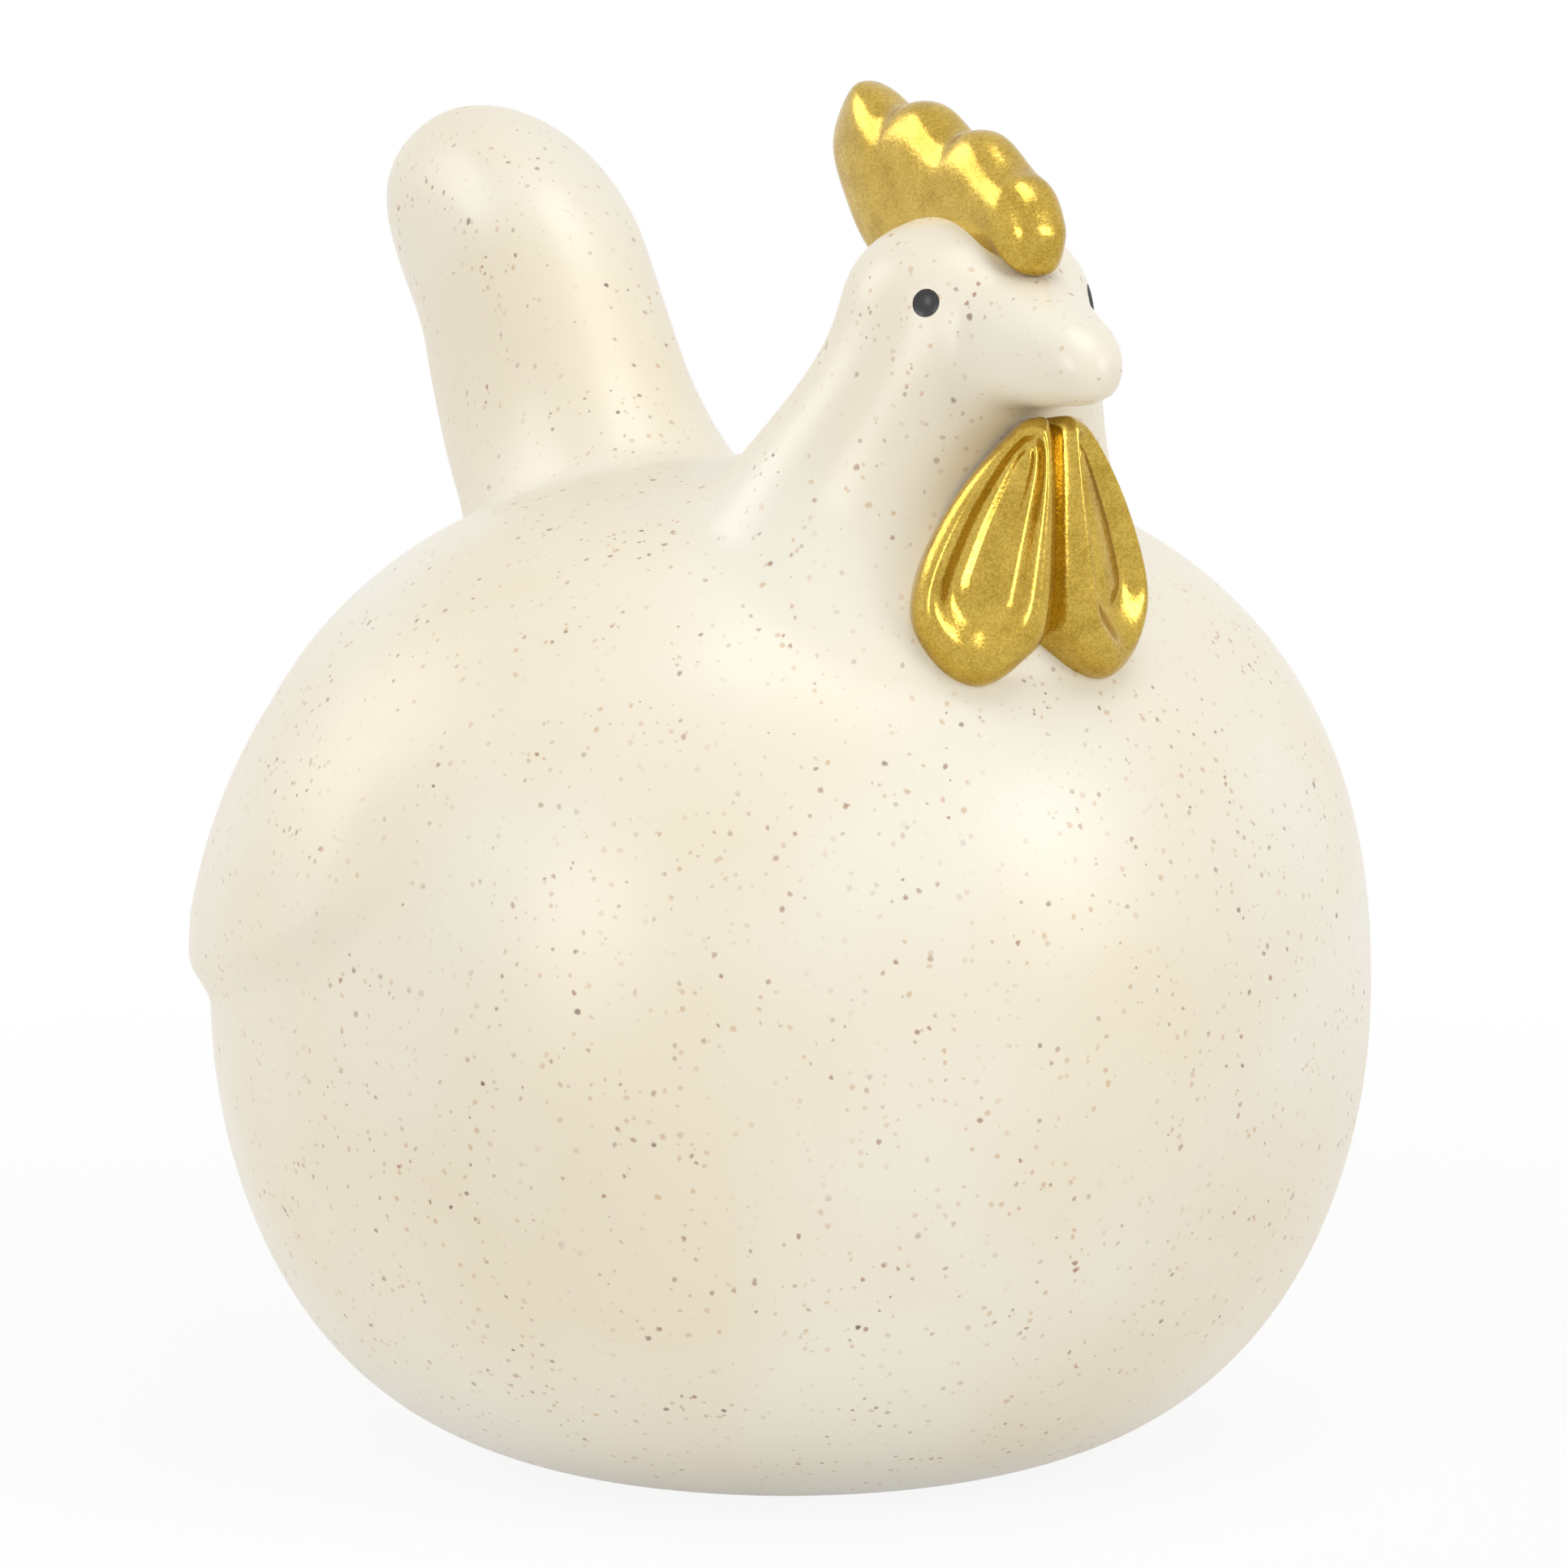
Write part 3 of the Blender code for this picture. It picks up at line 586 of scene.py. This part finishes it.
def slice_foot(item):
    """Slice the foot flat at the floor and close it with one face."""
    bm = bmesh.new()
    bm.from_mesh(item.data)
    cut = bmesh.ops.bisect_plane(
        bm,
        geom=bm.verts[:] + bm.edges[:] + bm.faces[:],
        plane_co=(0.0, 0.0, 0.0),
        plane_no=(0.0, 0.0, -1.0),
        clear_outer=True,
    )
    rim = [part for part in cut["geom_cut"] if isinstance(part, bmesh.types.BMEdge)]
    bmesh.ops.contextual_create(bm, geom=rim)
    bm.to_mesh(item.data)
    bm.free()


# Forms of the comb and the wattles

def smooth_outline(points, pieces):
    """Closed Catmull-Rom curve through the points, with some pieces between each pair."""
    curve = []
    for index, start in enumerate(points):
        before = points[index - 1]
        end = points[(index + 1) % len(points)]
        after = points[(index + 2) % len(points)]
        for piece in range(pieces):
            t = piece / pieces
            bend = 2.0 * before - 5.0 * start + 4.0 * end - after
            twist = 3.0 * (start - end) + after - before
            curve.append(start + 0.5 * t * (end - before + t * (bend + t * twist)))
    return curve


def nearest_on_spine(point, spine):
    """Closest point to an outline point on a spine of straight stretches."""
    found = []
    for start, end in zip(spine, spine[1:]):
        run = end - start
        share = min(1.0, max(0.0, (point - start).dot(run) / run.dot(run)))
        found.append(start + share * run)
    return min(found, key=lambda place: (place - point).length)


def plump_face(outline, spine, swell, fullness, steps, dish=None):
    """Rings of a plump face: the outline shrinks towards its spine as the face swells.

    The outline and the spine lie in the local XY plane, and the face swells along Z. A
    dish is a depth, the shares of the way to the spine where it starts and is deepest, and
    the height of the ridge that stands along the spine in it.
    """
    feet = [nearest_on_spine(point, spine) for point in outline]
    rings = []
    for step in range(steps + 1):
        share = PLUMP_INNERMOST * (step / steps) ** PLUMP_RIM_CROWDING
        height = swell * dome_share(1.0 - share, fullness)
        if dish:
            depth, start, floor, ridge = dish
            height -= depth * smoothstep((share - start) / (floor - start))
            height += ridge * smoothstep((share - floor) / (PLUMP_INNERMOST - floor))
        rings.append([(*point.lerp(foot, share), height) for point, foot in zip(outline, feet)])
    return rings


def comb_plate(comb):
    """Comb plate set upright along the crown, its lobes like half waves on a falling arc."""

    def place_on_comb(along, climb):
        """Point of the side view, forward and up, from shares of the comb's length and rise."""
        forward = comb.rear + along * (comb.front - comb.rear)
        return Vector((forward, comb.root_height + climb * comb.rise))

    points = [place_on_comb(*place) for place in COMB_REAR_EDGE]
    lobe_start = 0.0
    for notch_share in COMB_NOTCH_SHARES:
        for part in COMB_LOBE_PARTS:
            share = lobe_start + part * (notch_share - lobe_start)
            fall = comb.fall * share ** comb.fall_power
            sunk = comb.notch * (1.0 - math.sin(math.pi * part))
            points.append(place_on_comb(share, 1.0 - (fall + sunk) / comb.rise))
        lobe_start = notch_share
    points += [place_on_comb(*place) for place in COMB_BROW_EDGE]
    outline = smooth_outline(points, 10)
    spine = [place_on_comb(*place) for place in COMB_SPINE]
    near_face = plump_face(outline, spine, 0.5 * comb.thickness, comb.fullness, 28)
    far_face = plump_face(outline, spine, -0.5 * comb.thickness, comb.fullness, 28)
    plate = loft("comb_gilding", far_face[:0:-1] + near_face)
    plate.data.transform(Matrix(((0, 0, -1, 0), (-1, 0, 0, 0), (0, 1, 0, 0), (0, 0, 0, 1))))
    relax(plate, COMB_RELAX_PASSES)
    return plate


def wattle_lobe(name, side, wattle):
    """Wattle lobe of one side: a teardrop on the breast with a leaf-shaped dish in its face.

    Its root draws in towards the top, so that no corner stands out beside the neck.
    """
    height = wattle.top - wattle.bottom

    def place_on_lobe(across, up):
        """Point of the lobe from shares of its width and height."""
        return Vector((across * wattle.width, wattle.bottom + up * height))

    outline = smooth_outline([place_on_lobe(*place) for place in WATTLE_OUTLINE], 12)
    spine = [place_on_lobe(*place) for place in WATTLE_SPINE]
    dish = (wattle.dish_depth, wattle.dish_start, wattle.dish_floor, wattle.dish_ridge)
    root = []
    for point in outline:
        tuck = wattle.root_tuck * ((point.y - wattle.bottom) / height) ** 2
        root.append((*point.lerp(nearest_on_spine(point, spine), tuck), -wattle.root_depth))
    rings = [root]
    for ring in plump_face(outline, spine, wattle.swell, wattle.fullness, 40, dish):
        thinned = []
        for across, up, out in ring:
            climb = (up - wattle.bottom) / height
            thinned.append((across, up, out * (1.0 - wattle.thinning * climb ** 2)))
        rings.append(thinned)
    lobe = loft(name, rings)
    upright = Matrix(((1, 0, 0, 0), (0, 0, -1, 0), (0, 1, 0, 0), (0, 0, 0, 1)))
    place = Matrix.Translation((0.0, -wattle.forward, 0.0))
    lobe.data.transform(place @ Matrix.Rotation(wattle.turn, 4, 'Z') @ upright)
    if side < 0:
        lobe.data.transform(Matrix.Scale(-1.0, 4, (1.0, 0.0, 0.0)))
        lobe.data.flip_normals()
    relax(lobe, WATTLE_RELAX_PASSES)
    return lobe


# Materials

def linear_colour(hex_value):
    """Linear RGBA of an sRGB hex value."""
    channels = []
    for start in (0, 2, 4):
        value = int(hex_value[start:start + 2], 16) / 255.0
        channels.append(value / 12.92 if value <= 0.04045 else ((value + 0.055) / 1.055) ** 2.4)
    return (*channels, 1.0)


def add_node(tree, kind, inputs=None, **settings):
    """Add a node, set its own settings, and give its inputs values or link them."""
    node = tree.nodes.new(kind)
    for name, value in settings.items():
        setattr(node, name, value)
    for name, value in (inputs or {}).items():
        socket = node.inputs[name]
        if isinstance(value, bpy.types.NodeSocket):
            tree.links.new(value, socket)
        else:
            socket.default_value = value
    return node


def new_material(name):
    """Empty node material with its output node."""
    material = bpy.data.materials.new(name)
    material.use_nodes = True
    material.node_tree.nodes.clear()
    output = material.node_tree.nodes.new("ShaderNodeOutputMaterial")
    return material, material.node_tree, output


def fleck_mask(tree, place, cell_mm, share, small_mm, large_mm, seed):
    """Round spots in a share of random cells, each with its own radius."""
    scale = 1.0 / (cell_mm * MM)
    shifted = add_node(
        tree, "ShaderNodeVectorMath", {0: place, 1: (seed * MM, seed * 2.3 * MM, seed * 0.7 * MM)},
        operation='ADD',
    )
    cells = add_node(
        tree, "ShaderNodeTexVoronoi", {"Vector": shifted.outputs[0], "Scale": scale},
        feature='F1', distance='EUCLIDEAN',
    )
    draws = add_node(tree, "ShaderNodeSeparateColor", {"Color": cells.outputs["Color"]})
    chosen = add_node(
        tree, "ShaderNodeMath", {0: draws.outputs[0], 1: share}, operation='LESS_THAN'
    )
    radius = add_node(
        tree, "ShaderNodeMapRange",
        {"Value": draws.outputs[1], "To Min": small_mm / cell_mm, "To Max": large_mm / cell_mm},
    )
    inner = add_node(tree, "ShaderNodeMath", {0: radius.outputs[0], 1: 0.55}, operation='MULTIPLY')
    spot = add_node(
        tree, "ShaderNodeMapRange",
        {
            "Value": cells.outputs["Distance"],
            "From Min": inner.outputs[0],
            "From Max": radius.outputs[0],
            "To Min": 1.0,
            "To Max": 0.0,
        },
    )
    mask = add_node(
        tree, "ShaderNodeMath", {0: spot.outputs[0], 1: chosen.outputs[0]}, operation='MULTIPLY'
    )
    return mask.outputs[0]


def speckled_glaze(look):
    """Satin feldspar glaze, sprayed and fired over stoneware that holds iron grains.

    The iron grains melt into tan and brown flecks of 0.2 to 0.8 mm, closer together in some
    places than in others, and the satin surface gives wide soft highlights.
    """
    material, tree, output = new_material("satin_speckled_stoneware_glaze")
    place = add_node(tree, "ShaderNodeTexCoord").outputs["Object"]
    ragged = add_node(
        tree, "ShaderNodeTexNoise", {"Vector": place, "Scale": 1.0 / (0.5 * MM), "Detail": 3.0}
    )
    pulled = add_node(
        tree, "ShaderNodeVectorMath",
        {0: ragged.outputs["Color"], 1: (-0.5, -0.5, -0.5)}, operation='ADD',
    )
    strength = add_node(
        tree, "ShaderNodeVectorMath", {0: pulled.outputs[0], "Scale": 0.42 * MM}, operation='SCALE'
    )
    warped = add_node(
        tree, "ShaderNodeVectorMath", {0: place, 1: strength.outputs[0]}, operation='ADD'
    ).outputs[0]
    drift = add_node(
        tree, "ShaderNodeTexNoise", {"Vector": place, "Scale": 1.0 / (28.0 * MM), "Detail": 2.0}
    )
    thin = add_node(
        tree, "ShaderNodeMapRange",
        {"Value": drift.outputs["Fac"], "From Min": 0.35, "From Max": 0.65},
    )
    crowd = add_node(
        tree, "ShaderNodeTexNoise", {"Vector": place, "Scale": 1.0 / (7.0 * MM), "Detail": 2.0}
    )
    gathered = add_node(
        tree, "ShaderNodeMapRange",
        {"Value": crowd.outputs["Fac"], "From Min": 0.40, "From Max": 0.60, "To Min": 0.20},
    )
    colour = add_node(
        tree, "ShaderNodeMix",
        {0: thin.outputs[0], 6: linear_colour(look.ground), 7: linear_colour(look.warm)},
        data_type='RGBA',
    ).outputs[2]
    # Colour, then cell in mm, share of cells with a fleck, radius range in mm, cover and seed
    layers = (
        (look.faint, 0.9, 0.42, 0.12, 0.34, 0.60, 3.0),
        (look.brown, 1.3, 0.60, 0.13, 0.32, 0.75, 11.0),
        (look.dark, 2.4, 0.50, 0.14, 0.38, 0.90, 23.0),
    )
    for fleck, cell_mm, share, small_mm, large_mm, cover, seed in layers:
        mask = fleck_mask(tree, warped, cell_mm, share, small_mm, large_mm, seed)
        weight = add_node(
            tree, "ShaderNodeMath", {0: mask, 1: gathered.outputs[0]}, operation='MULTIPLY'
        )
        covered = add_node(
            tree, "ShaderNodeMath", {0: weight.outputs[0], 1: cover}, operation='MULTIPLY'
        )
        colour = add_node(
            tree, "ShaderNodeMix", {0: covered.outputs[0], 6: colour, 7: linear_colour(fleck)},
            data_type='RGBA',
        ).outputs[2]
    orange_peel = add_node(
        tree, "ShaderNodeTexNoise", {"Vector": place, "Scale": 1.0 / (2.5 * MM), "Detail": 2.0}
    )
    bump = add_node(
        tree, "ShaderNodeBump",
        {"Height": orange_peel.outputs["Fac"], "Strength": 0.06, "Distance": 0.1 * MM},
    )
    gloss = add_node(
        tree, "ShaderNodeMapRange",
        {
            "Value": drift.outputs["Fac"],
            "To Min": look.roughness - 0.05,
            "To Max": look.roughness + 0.05,
        },
    )
    shader = add_node(
        tree, "ShaderNodeBsdfPrincipled",
        {
            "Base Color": colour,
            "Roughness": gloss.outputs[0],
            "IOR": 1.52,
            "Normal": bump.outputs["Normal"],
        },
    )
    tree.links.new(shader.outputs[0], output.inputs["Surface"])
    return material


def bare_stoneware(look):
    """Unglazed fired clay of the wiped foot and the hollow: dull, a little sandy."""
    material, tree, output = new_material("bare_fired_stoneware")
    place = add_node(tree, "ShaderNodeTexCoord").outputs["Object"]
    sand = add_node(
        tree, "ShaderNodeTexNoise", {"Vector": place, "Scale": 1.0 / (0.4 * MM), "Detail": 4.0}
    )
    tint = add_node(
        tree, "ShaderNodeMix",
        {0: sand.outputs["Fac"], 6: linear_colour(look.clay), 7: linear_colour(look.sand)},
        data_type='RGBA',
    )
    bump = add_node(
        tree, "ShaderNodeBump",
        {"Height": sand.outputs["Fac"], "Strength": 0.4, "Distance": 0.1 * MM},
    )
    shader = add_node(
        tree, "ShaderNodeBsdfPrincipled",
        {
            "Base Color": tint.outputs[2],
            "Roughness": 0.85,
            "IOR": 1.5,
            "Normal": bump.outputs["Normal"],
        },
    )
    tree.links.new(shader.outputs[0], output.inputs["Surface"])
    return material


def gold_lustre(look):
    """Gold lustre brushed over the glaze and fired: real metal film with fine flake grain.

    The flakes are 0.16 mm across, so highlights break into a fine sparkle.
    """
    material, tree, output = new_material("brushed_gold_lustre")
    place = add_node(tree, "ShaderNodeTexCoord").outputs["Object"]
    flakes = add_node(
        tree, "ShaderNodeTexVoronoi", {"Vector": place, "Scale": 1.0 / (0.16 * MM)}, feature='F1'
    )
    draws = add_node(tree, "ShaderNodeSeparateColor", {"Color": flakes.outputs["Color"]})
    coat = add_node(
        tree, "ShaderNodeTexNoise", {"Vector": place, "Scale": 1.0 / (3.0 * MM), "Detail": 3.0}
    )
    mixed = add_node(
        tree, "ShaderNodeMath", {0: draws.outputs[0], 1: 0.45}, operation='MULTIPLY'
    )
    depth = add_node(
        tree, "ShaderNodeMapRange",
        {"Value": coat.outputs["Fac"], "From Min": 0.4, "From Max": 0.7, "To Max": 0.30},
    )
    total = add_node(
        tree, "ShaderNodeMath", {0: mixed.outputs[0], 1: depth.outputs[0]}, operation='ADD'
    )
    colour = add_node(
        tree, "ShaderNodeMix",
        {0: total.outputs[0], 6: linear_colour(look.metal), 7: linear_colour(look.deep)},
        data_type='RGBA',
    )
    gloss = add_node(
        tree, "ShaderNodeMapRange",
        {
            "Value": draws.outputs[1],
            "To Min": look.roughness - 0.06,
            "To Max": look.roughness + 0.08,
        },
    )
    grain = add_node(
        tree, "ShaderNodeTexNoise", {"Vector": place, "Scale": 1.0 / (0.3 * MM), "Detail": 2.0}
    )
    bump = add_node(
        tree, "ShaderNodeBump",
        {"Height": grain.outputs["Fac"], "Strength": 0.28, "Distance": 0.06 * MM},
    )
    shader = add_node(
        tree, "ShaderNodeBsdfPrincipled",
        {
            "Base Color": colour.outputs[2],
            "Metallic": 1.0,
            "Roughness": gloss.outputs[0],
            "Normal": bump.outputs["Normal"],
        },
    )
    tree.links.new(shader.outputs[0], output.inputs["Surface"])
    return material


def eye_enamel(look):
    """Black underglaze dotted in by brush: soft black with a faint brush grain."""
    material, tree, output = new_material("black_brushed_underglaze")
    place = add_node(tree, "ShaderNodeTexCoord").outputs["Object"]
    strokes = add_node(
        tree, "ShaderNodeTexNoise", {"Vector": place, "Scale": 1.0 / (0.3 * MM), "Detail": 3.0}
    )
    tint = add_node(
        tree, "ShaderNodeMix",
        {0: strokes.outputs["Fac"], 6: linear_colour(look.paint), 7: linear_colour(look.stroke)},
        data_type='RGBA',
    )
    bump = add_node(
        tree, "ShaderNodeBump",
        {"Height": strokes.outputs["Fac"], "Strength": 0.3, "Distance": 0.05 * MM},
    )
    shader = add_node(
        tree, "ShaderNodeBsdfPrincipled",
        {
            "Base Color": tint.outputs[2],
            "Roughness": 0.35,
            "IOR": 1.5,
            "Normal": bump.outputs["Normal"],
        },
    )
    tree.links.new(shader.outputs[0], output.inputs["Surface"])
    return material


# Placing

def stand_shift(context):
    """Move from the body's own axis to the place of the solid model.

    The casting reaches furthest forward and furthest back, so its middle is the model's.
    """
    return Matrix.Translation((0.0, context.scene.hen_figurine.axis_place, 0.0))


def find_axis_place(casting):
    """Place of the body's own axis that puts the casting's middle at the solid model's."""
    forward = min(vert.co.y for vert in casting.data.vertices)
    back = max(vert.co.y for vert in casting.data.vertices)
    return 0.5 * (CAD_LOW.y + CAD_HIGH.y) - 0.5 * (forward + back)


def finish_piece(piece, materials, sharp_degrees):
    """Give a piece its finishes, smooth shading and its body, and hide the solid node that it takes
    the place of.
    """
    for material in materials:
        piece.data.materials.append(material)
    piece.data.shade_smooth()
    piece.data.set_sharp_from_angle(angle=math.radians(sharp_degrees))
    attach(piece, "root")
    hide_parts(NODE)


class HEN_OT_casting(Operator):
    """Cast the hen's body, neck, tail, beak and wings in one hollow piece"""

    bl_idname = "hen.casting"
    bl_label = "Cast the Hen"

    def execute(self, context):
        settings = context.scene.hen_figurine
        body = settings.body
        count = settings.ring_points
        voxel = settings.skin_voxel
        top = BODY_LAST_RING * body.top
        casting = egg("hen_casting", body, -body.foot_trim, top, 0.0, 80, count)
        parts = [
            neck("neck", settings.head, 0.0, 40, count),
            tail_paddle("tail", settings.tail, 0.0, 64, count),
        ]
        combine(casting, parts, 'UNION')
        soften(casting, voxel, NECK_AND_TAIL_JOINT)
        combine(casting, [beak_cone(settings.beak, 32, count)], 'UNION')
        soften(casting, voxel, BEAK_JOINT)
        raise_wings(casting, settings.wing)
        slice_foot(casting)
        glaze = speckled_glaze(settings.glaze)
        clay = bare_stoneware(settings.glaze)
        enamel = eye_enamel(settings.gold)
        casting.data.materials.clear()
        casting.data.materials.append(glaze)
        for side in (-1.0, 1.0):
            ball = eye_ball(casting, side, settings.head, settings.eye)
            ball.data.materials.append(enamel)
            combine(casting, [ball], 'DIFFERENCE')
        for cutter in (hollow(settings), vent_drill(body)):
            cutter.data.materials.clear()
            cutter.data.materials.append(clay)
            combine(casting, [cutter], 'DIFFERENCE')
        clay_index = casting.data.materials.find(clay.name)
        for face in casting.data.polygons:
            if face.normal.z < -0.99 and abs(face.center.z) < 0.05 * MM:
                face.material_index = clay_index
        settings.axis_place = find_axis_place(casting)
        casting.data.transform(stand_shift(context))
        finish_piece(casting, (), CASTING_SHARP_DEGREES)
        return {'FINISHED'}


class HEN_OT_comb(Operator):
    """Model the comb and gild it"""

    bl_idname = "hen.comb"
    bl_label = "Gild the Comb"

    def execute(self, context):
        settings = context.scene.hen_figurine
        plate = comb_plate(settings.comb)
        plate.data.transform(stand_shift(context))
        finish_piece(plate, (gold_material(settings),), GILDING_SHARP_DEGREES)
        return {'FINISHED'}


class HEN_OT_wattles(Operator):
    """Model the pair of wattles and gild them"""

    bl_idname = "hen.wattles"
    bl_label = "Gild the Wattles"

    def execute(self, context):
        settings = context.scene.hen_figurine
        for name, side in (("wattle_gilding_left", 1.0), ("wattle_gilding_right", -1.0)):
            lobe = wattle_lobe(name, side, settings.wattle)
            lobe.data.transform(stand_shift(context))
            finish_piece(lobe, (gold_material(settings),), GILDING_SHARP_DEGREES)
        return {'FINISHED'}


def gold_material(settings):
    """The one gold lustre that comb and wattles share."""
    return bpy.data.materials.get("brushed_gold_lustre") or gold_lustre(settings.gold)


def soft_box(name, place, target, size, power):
    """Square soft lamp that faces a target."""
    lamp = bpy.data.lights.new(name, 'AREA')
    lamp.shape = 'RECTANGLE'
    lamp.size, lamp.size_y = size
    lamp.energy = power
    item = bpy.data.objects.new(name, lamp)
    bpy.context.collection.objects.link(item)
    item.location = place
    item.rotation_euler = (target - Vector(place)).to_track_quat('-Z', 'Y').to_euler()


def seen_rays(tree):
    """Output that is 1 for rays that show the background: to the camera, in gloss, in glass."""
    path = add_node(tree, "ShaderNodeLightPath")
    seen = path.outputs["Is Camera Ray"]
    for ray in ("Is Glossy Ray", "Is Transmission Ray"):
        seen = add_node(
            tree, "ShaderNodeMath", {0: seen, 1: path.outputs[ray]}, operation='MAXIMUM'
        ).outputs[0]
    return seen


def stage_floor(look):
    """Wide pale floor that stays near white and keeps the hen's soft shadow.

    It lies a hair below the foot, so that the two faces never fill the same plane.
    """
    bm = bmesh.new()
    bmesh.ops.create_circle(bm, cap_ends=True, segments=128, radius=FLOOR_RADIUS)
    bmesh.ops.translate(bm, vec=(0.0, 0.0, -look.floor_gap), verts=bm.verts)
    floor = object_from_bmesh("studio_floor", bm)
    material, tree, output = new_material("matt_white_studio_board")
    place = add_node(tree, "ShaderNodeTexCoord").outputs["Object"]
    away = add_node(tree, "ShaderNodeVectorMath", {0: place}, operation='LENGTH')
    white_share = add_node(
        tree, "ShaderNodeMapRange",
        {
            "Value": away.outputs["Value"],
            "From Min": look.fade_start,
            "From Max": look.fade_end,
            "To Min": look.whiteness,
            "To Max": 1.0,
        },
        interpolation_type='SMOOTHSTEP',
    )
    glow = add_node(
        tree, "ShaderNodeMath", {0: seen_rays(tree), 1: white_share.outputs[0]},
        operation='MULTIPLY',
    )
    board = add_node(
        tree, "ShaderNodeBsdfPrincipled",
        {"Base Color": linear_colour(look.floor), "Roughness": 0.9, "Specular IOR Level": 0.0},
    )
    white = add_node(tree, "ShaderNodeEmission", {"Color": (1.0, 1.0, 1.0, 1.0), "Strength": 1.0})
    mix = add_node(
        tree, "ShaderNodeMixShader", {0: glow.outputs[0], 1: board.outputs[0], 2: white.outputs[0]}
    )
    tree.links.new(mix.outputs[0], output.inputs["Surface"])
    floor.data.materials.append(material)


class HEN_OT_stage(Operator):
    """Set out the floor, the soft lamps, the white surround and the camera"""

    bl_idname = "hen.stage"
    bl_label = "Set the Stage"

    def execute(self, context):
        scene = context.scene
        look = scene.hen_figurine.stage
        stage_floor(look)
        middle = Vector((0.0, scene.hen_figurine.axis_place, look.target_height))
        level = math.cos(look.elevation)
        toward_camera = Vector(
            (
                math.sin(look.azimuth) * level,
                -math.cos(look.azimuth) * level,
                math.sin(look.elevation),
            )
        )
        camera_data = bpy.data.cameras.new("photo_camera")
        camera = bpy.data.objects.new("photo_camera", camera_data)
        context.collection.objects.link(camera)
        camera.location = middle + look.distance * toward_camera
        camera.rotation_euler = (-toward_camera).to_track_quat('-Z', 'Y').to_euler()
        camera_data.lens = look.focal_length
        camera_data.sensor_width = 36.0
        camera_data.shift_x = look.shift
        camera_data.clip_start = 0.01
        scene.camera = camera
        basis = camera.rotation_euler.to_matrix()
        for name, direction, distance, size, power in LAMPS:
            place = middle + distance * (basis @ Vector(direction).normalized())
            soft_box(name, place, middle, size, power)
        world = bpy.data.worlds.new("white_surround")
        scene.world = world
        world.use_nodes = True
        tree = world.node_tree
        tree.nodes.clear()
        strength = add_node(
            tree, "ShaderNodeMapRange",
            {"Value": seen_rays(tree), "To Min": look.surround, "To Max": 1.0},
        )
        surround = add_node(
            tree, "ShaderNodeBackground",
            {"Color": (1.0, 1.0, 1.0, 1.0), "Strength": strength.outputs[0]},
        )
        end = add_node(tree, "ShaderNodeOutputWorld", {"Surface": surround.outputs[0]})
        end.is_active_output = True
        scene.view_settings.view_transform = 'Standard'
        return {'FINISHED'}


class HEN_PT_workbench(Panel):
    """Sidebar list of the steps that make the figurine"""

    bl_idname = "HEN_PT_workbench"
    bl_label = "Hen Figurine"
    bl_space_type = 'VIEW_3D'
    bl_region_type = 'UI'
    bl_category = "Hen"

    def draw(self, context):
        column = self.layout.column()
        for operator in OPERATORS:
            column.operator(operator.bl_idname)


OPERATORS = (HEN_OT_casting, HEN_OT_comb, HEN_OT_wattles, HEN_OT_stage)
CLASSES = (
    HenBodySizes,
    HenHeadSizes,
    HenTailSizes,
    HenBeakSizes,
    HenEyeSizes,
    HenWingSizes,
    HenCombSizes,
    HenWattleSizes,
    HenGlazeLook,
    HenGoldLook,
    HenStageLook,
    HenFigurineSettings,
    *OPERATORS,
    HEN_PT_workbench,
)


def register():
    for item in CLASSES:
        bpy.utils.register_class(item)
    bpy.types.Scene.hen_figurine = PointerProperty(type=HenFigurineSettings)


def unregister():
    del bpy.types.Scene.hen_figurine
    for item in reversed(CLASSES):
        bpy.utils.unregister_class(item)


def main():
    """Register the add-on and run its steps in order."""
    register()
    bpy.ops.hen.casting()
    bpy.ops.hen.comb()
    bpy.ops.hen.wattles()
    bpy.ops.hen.stage()


if __name__ == "__main__":
    main()
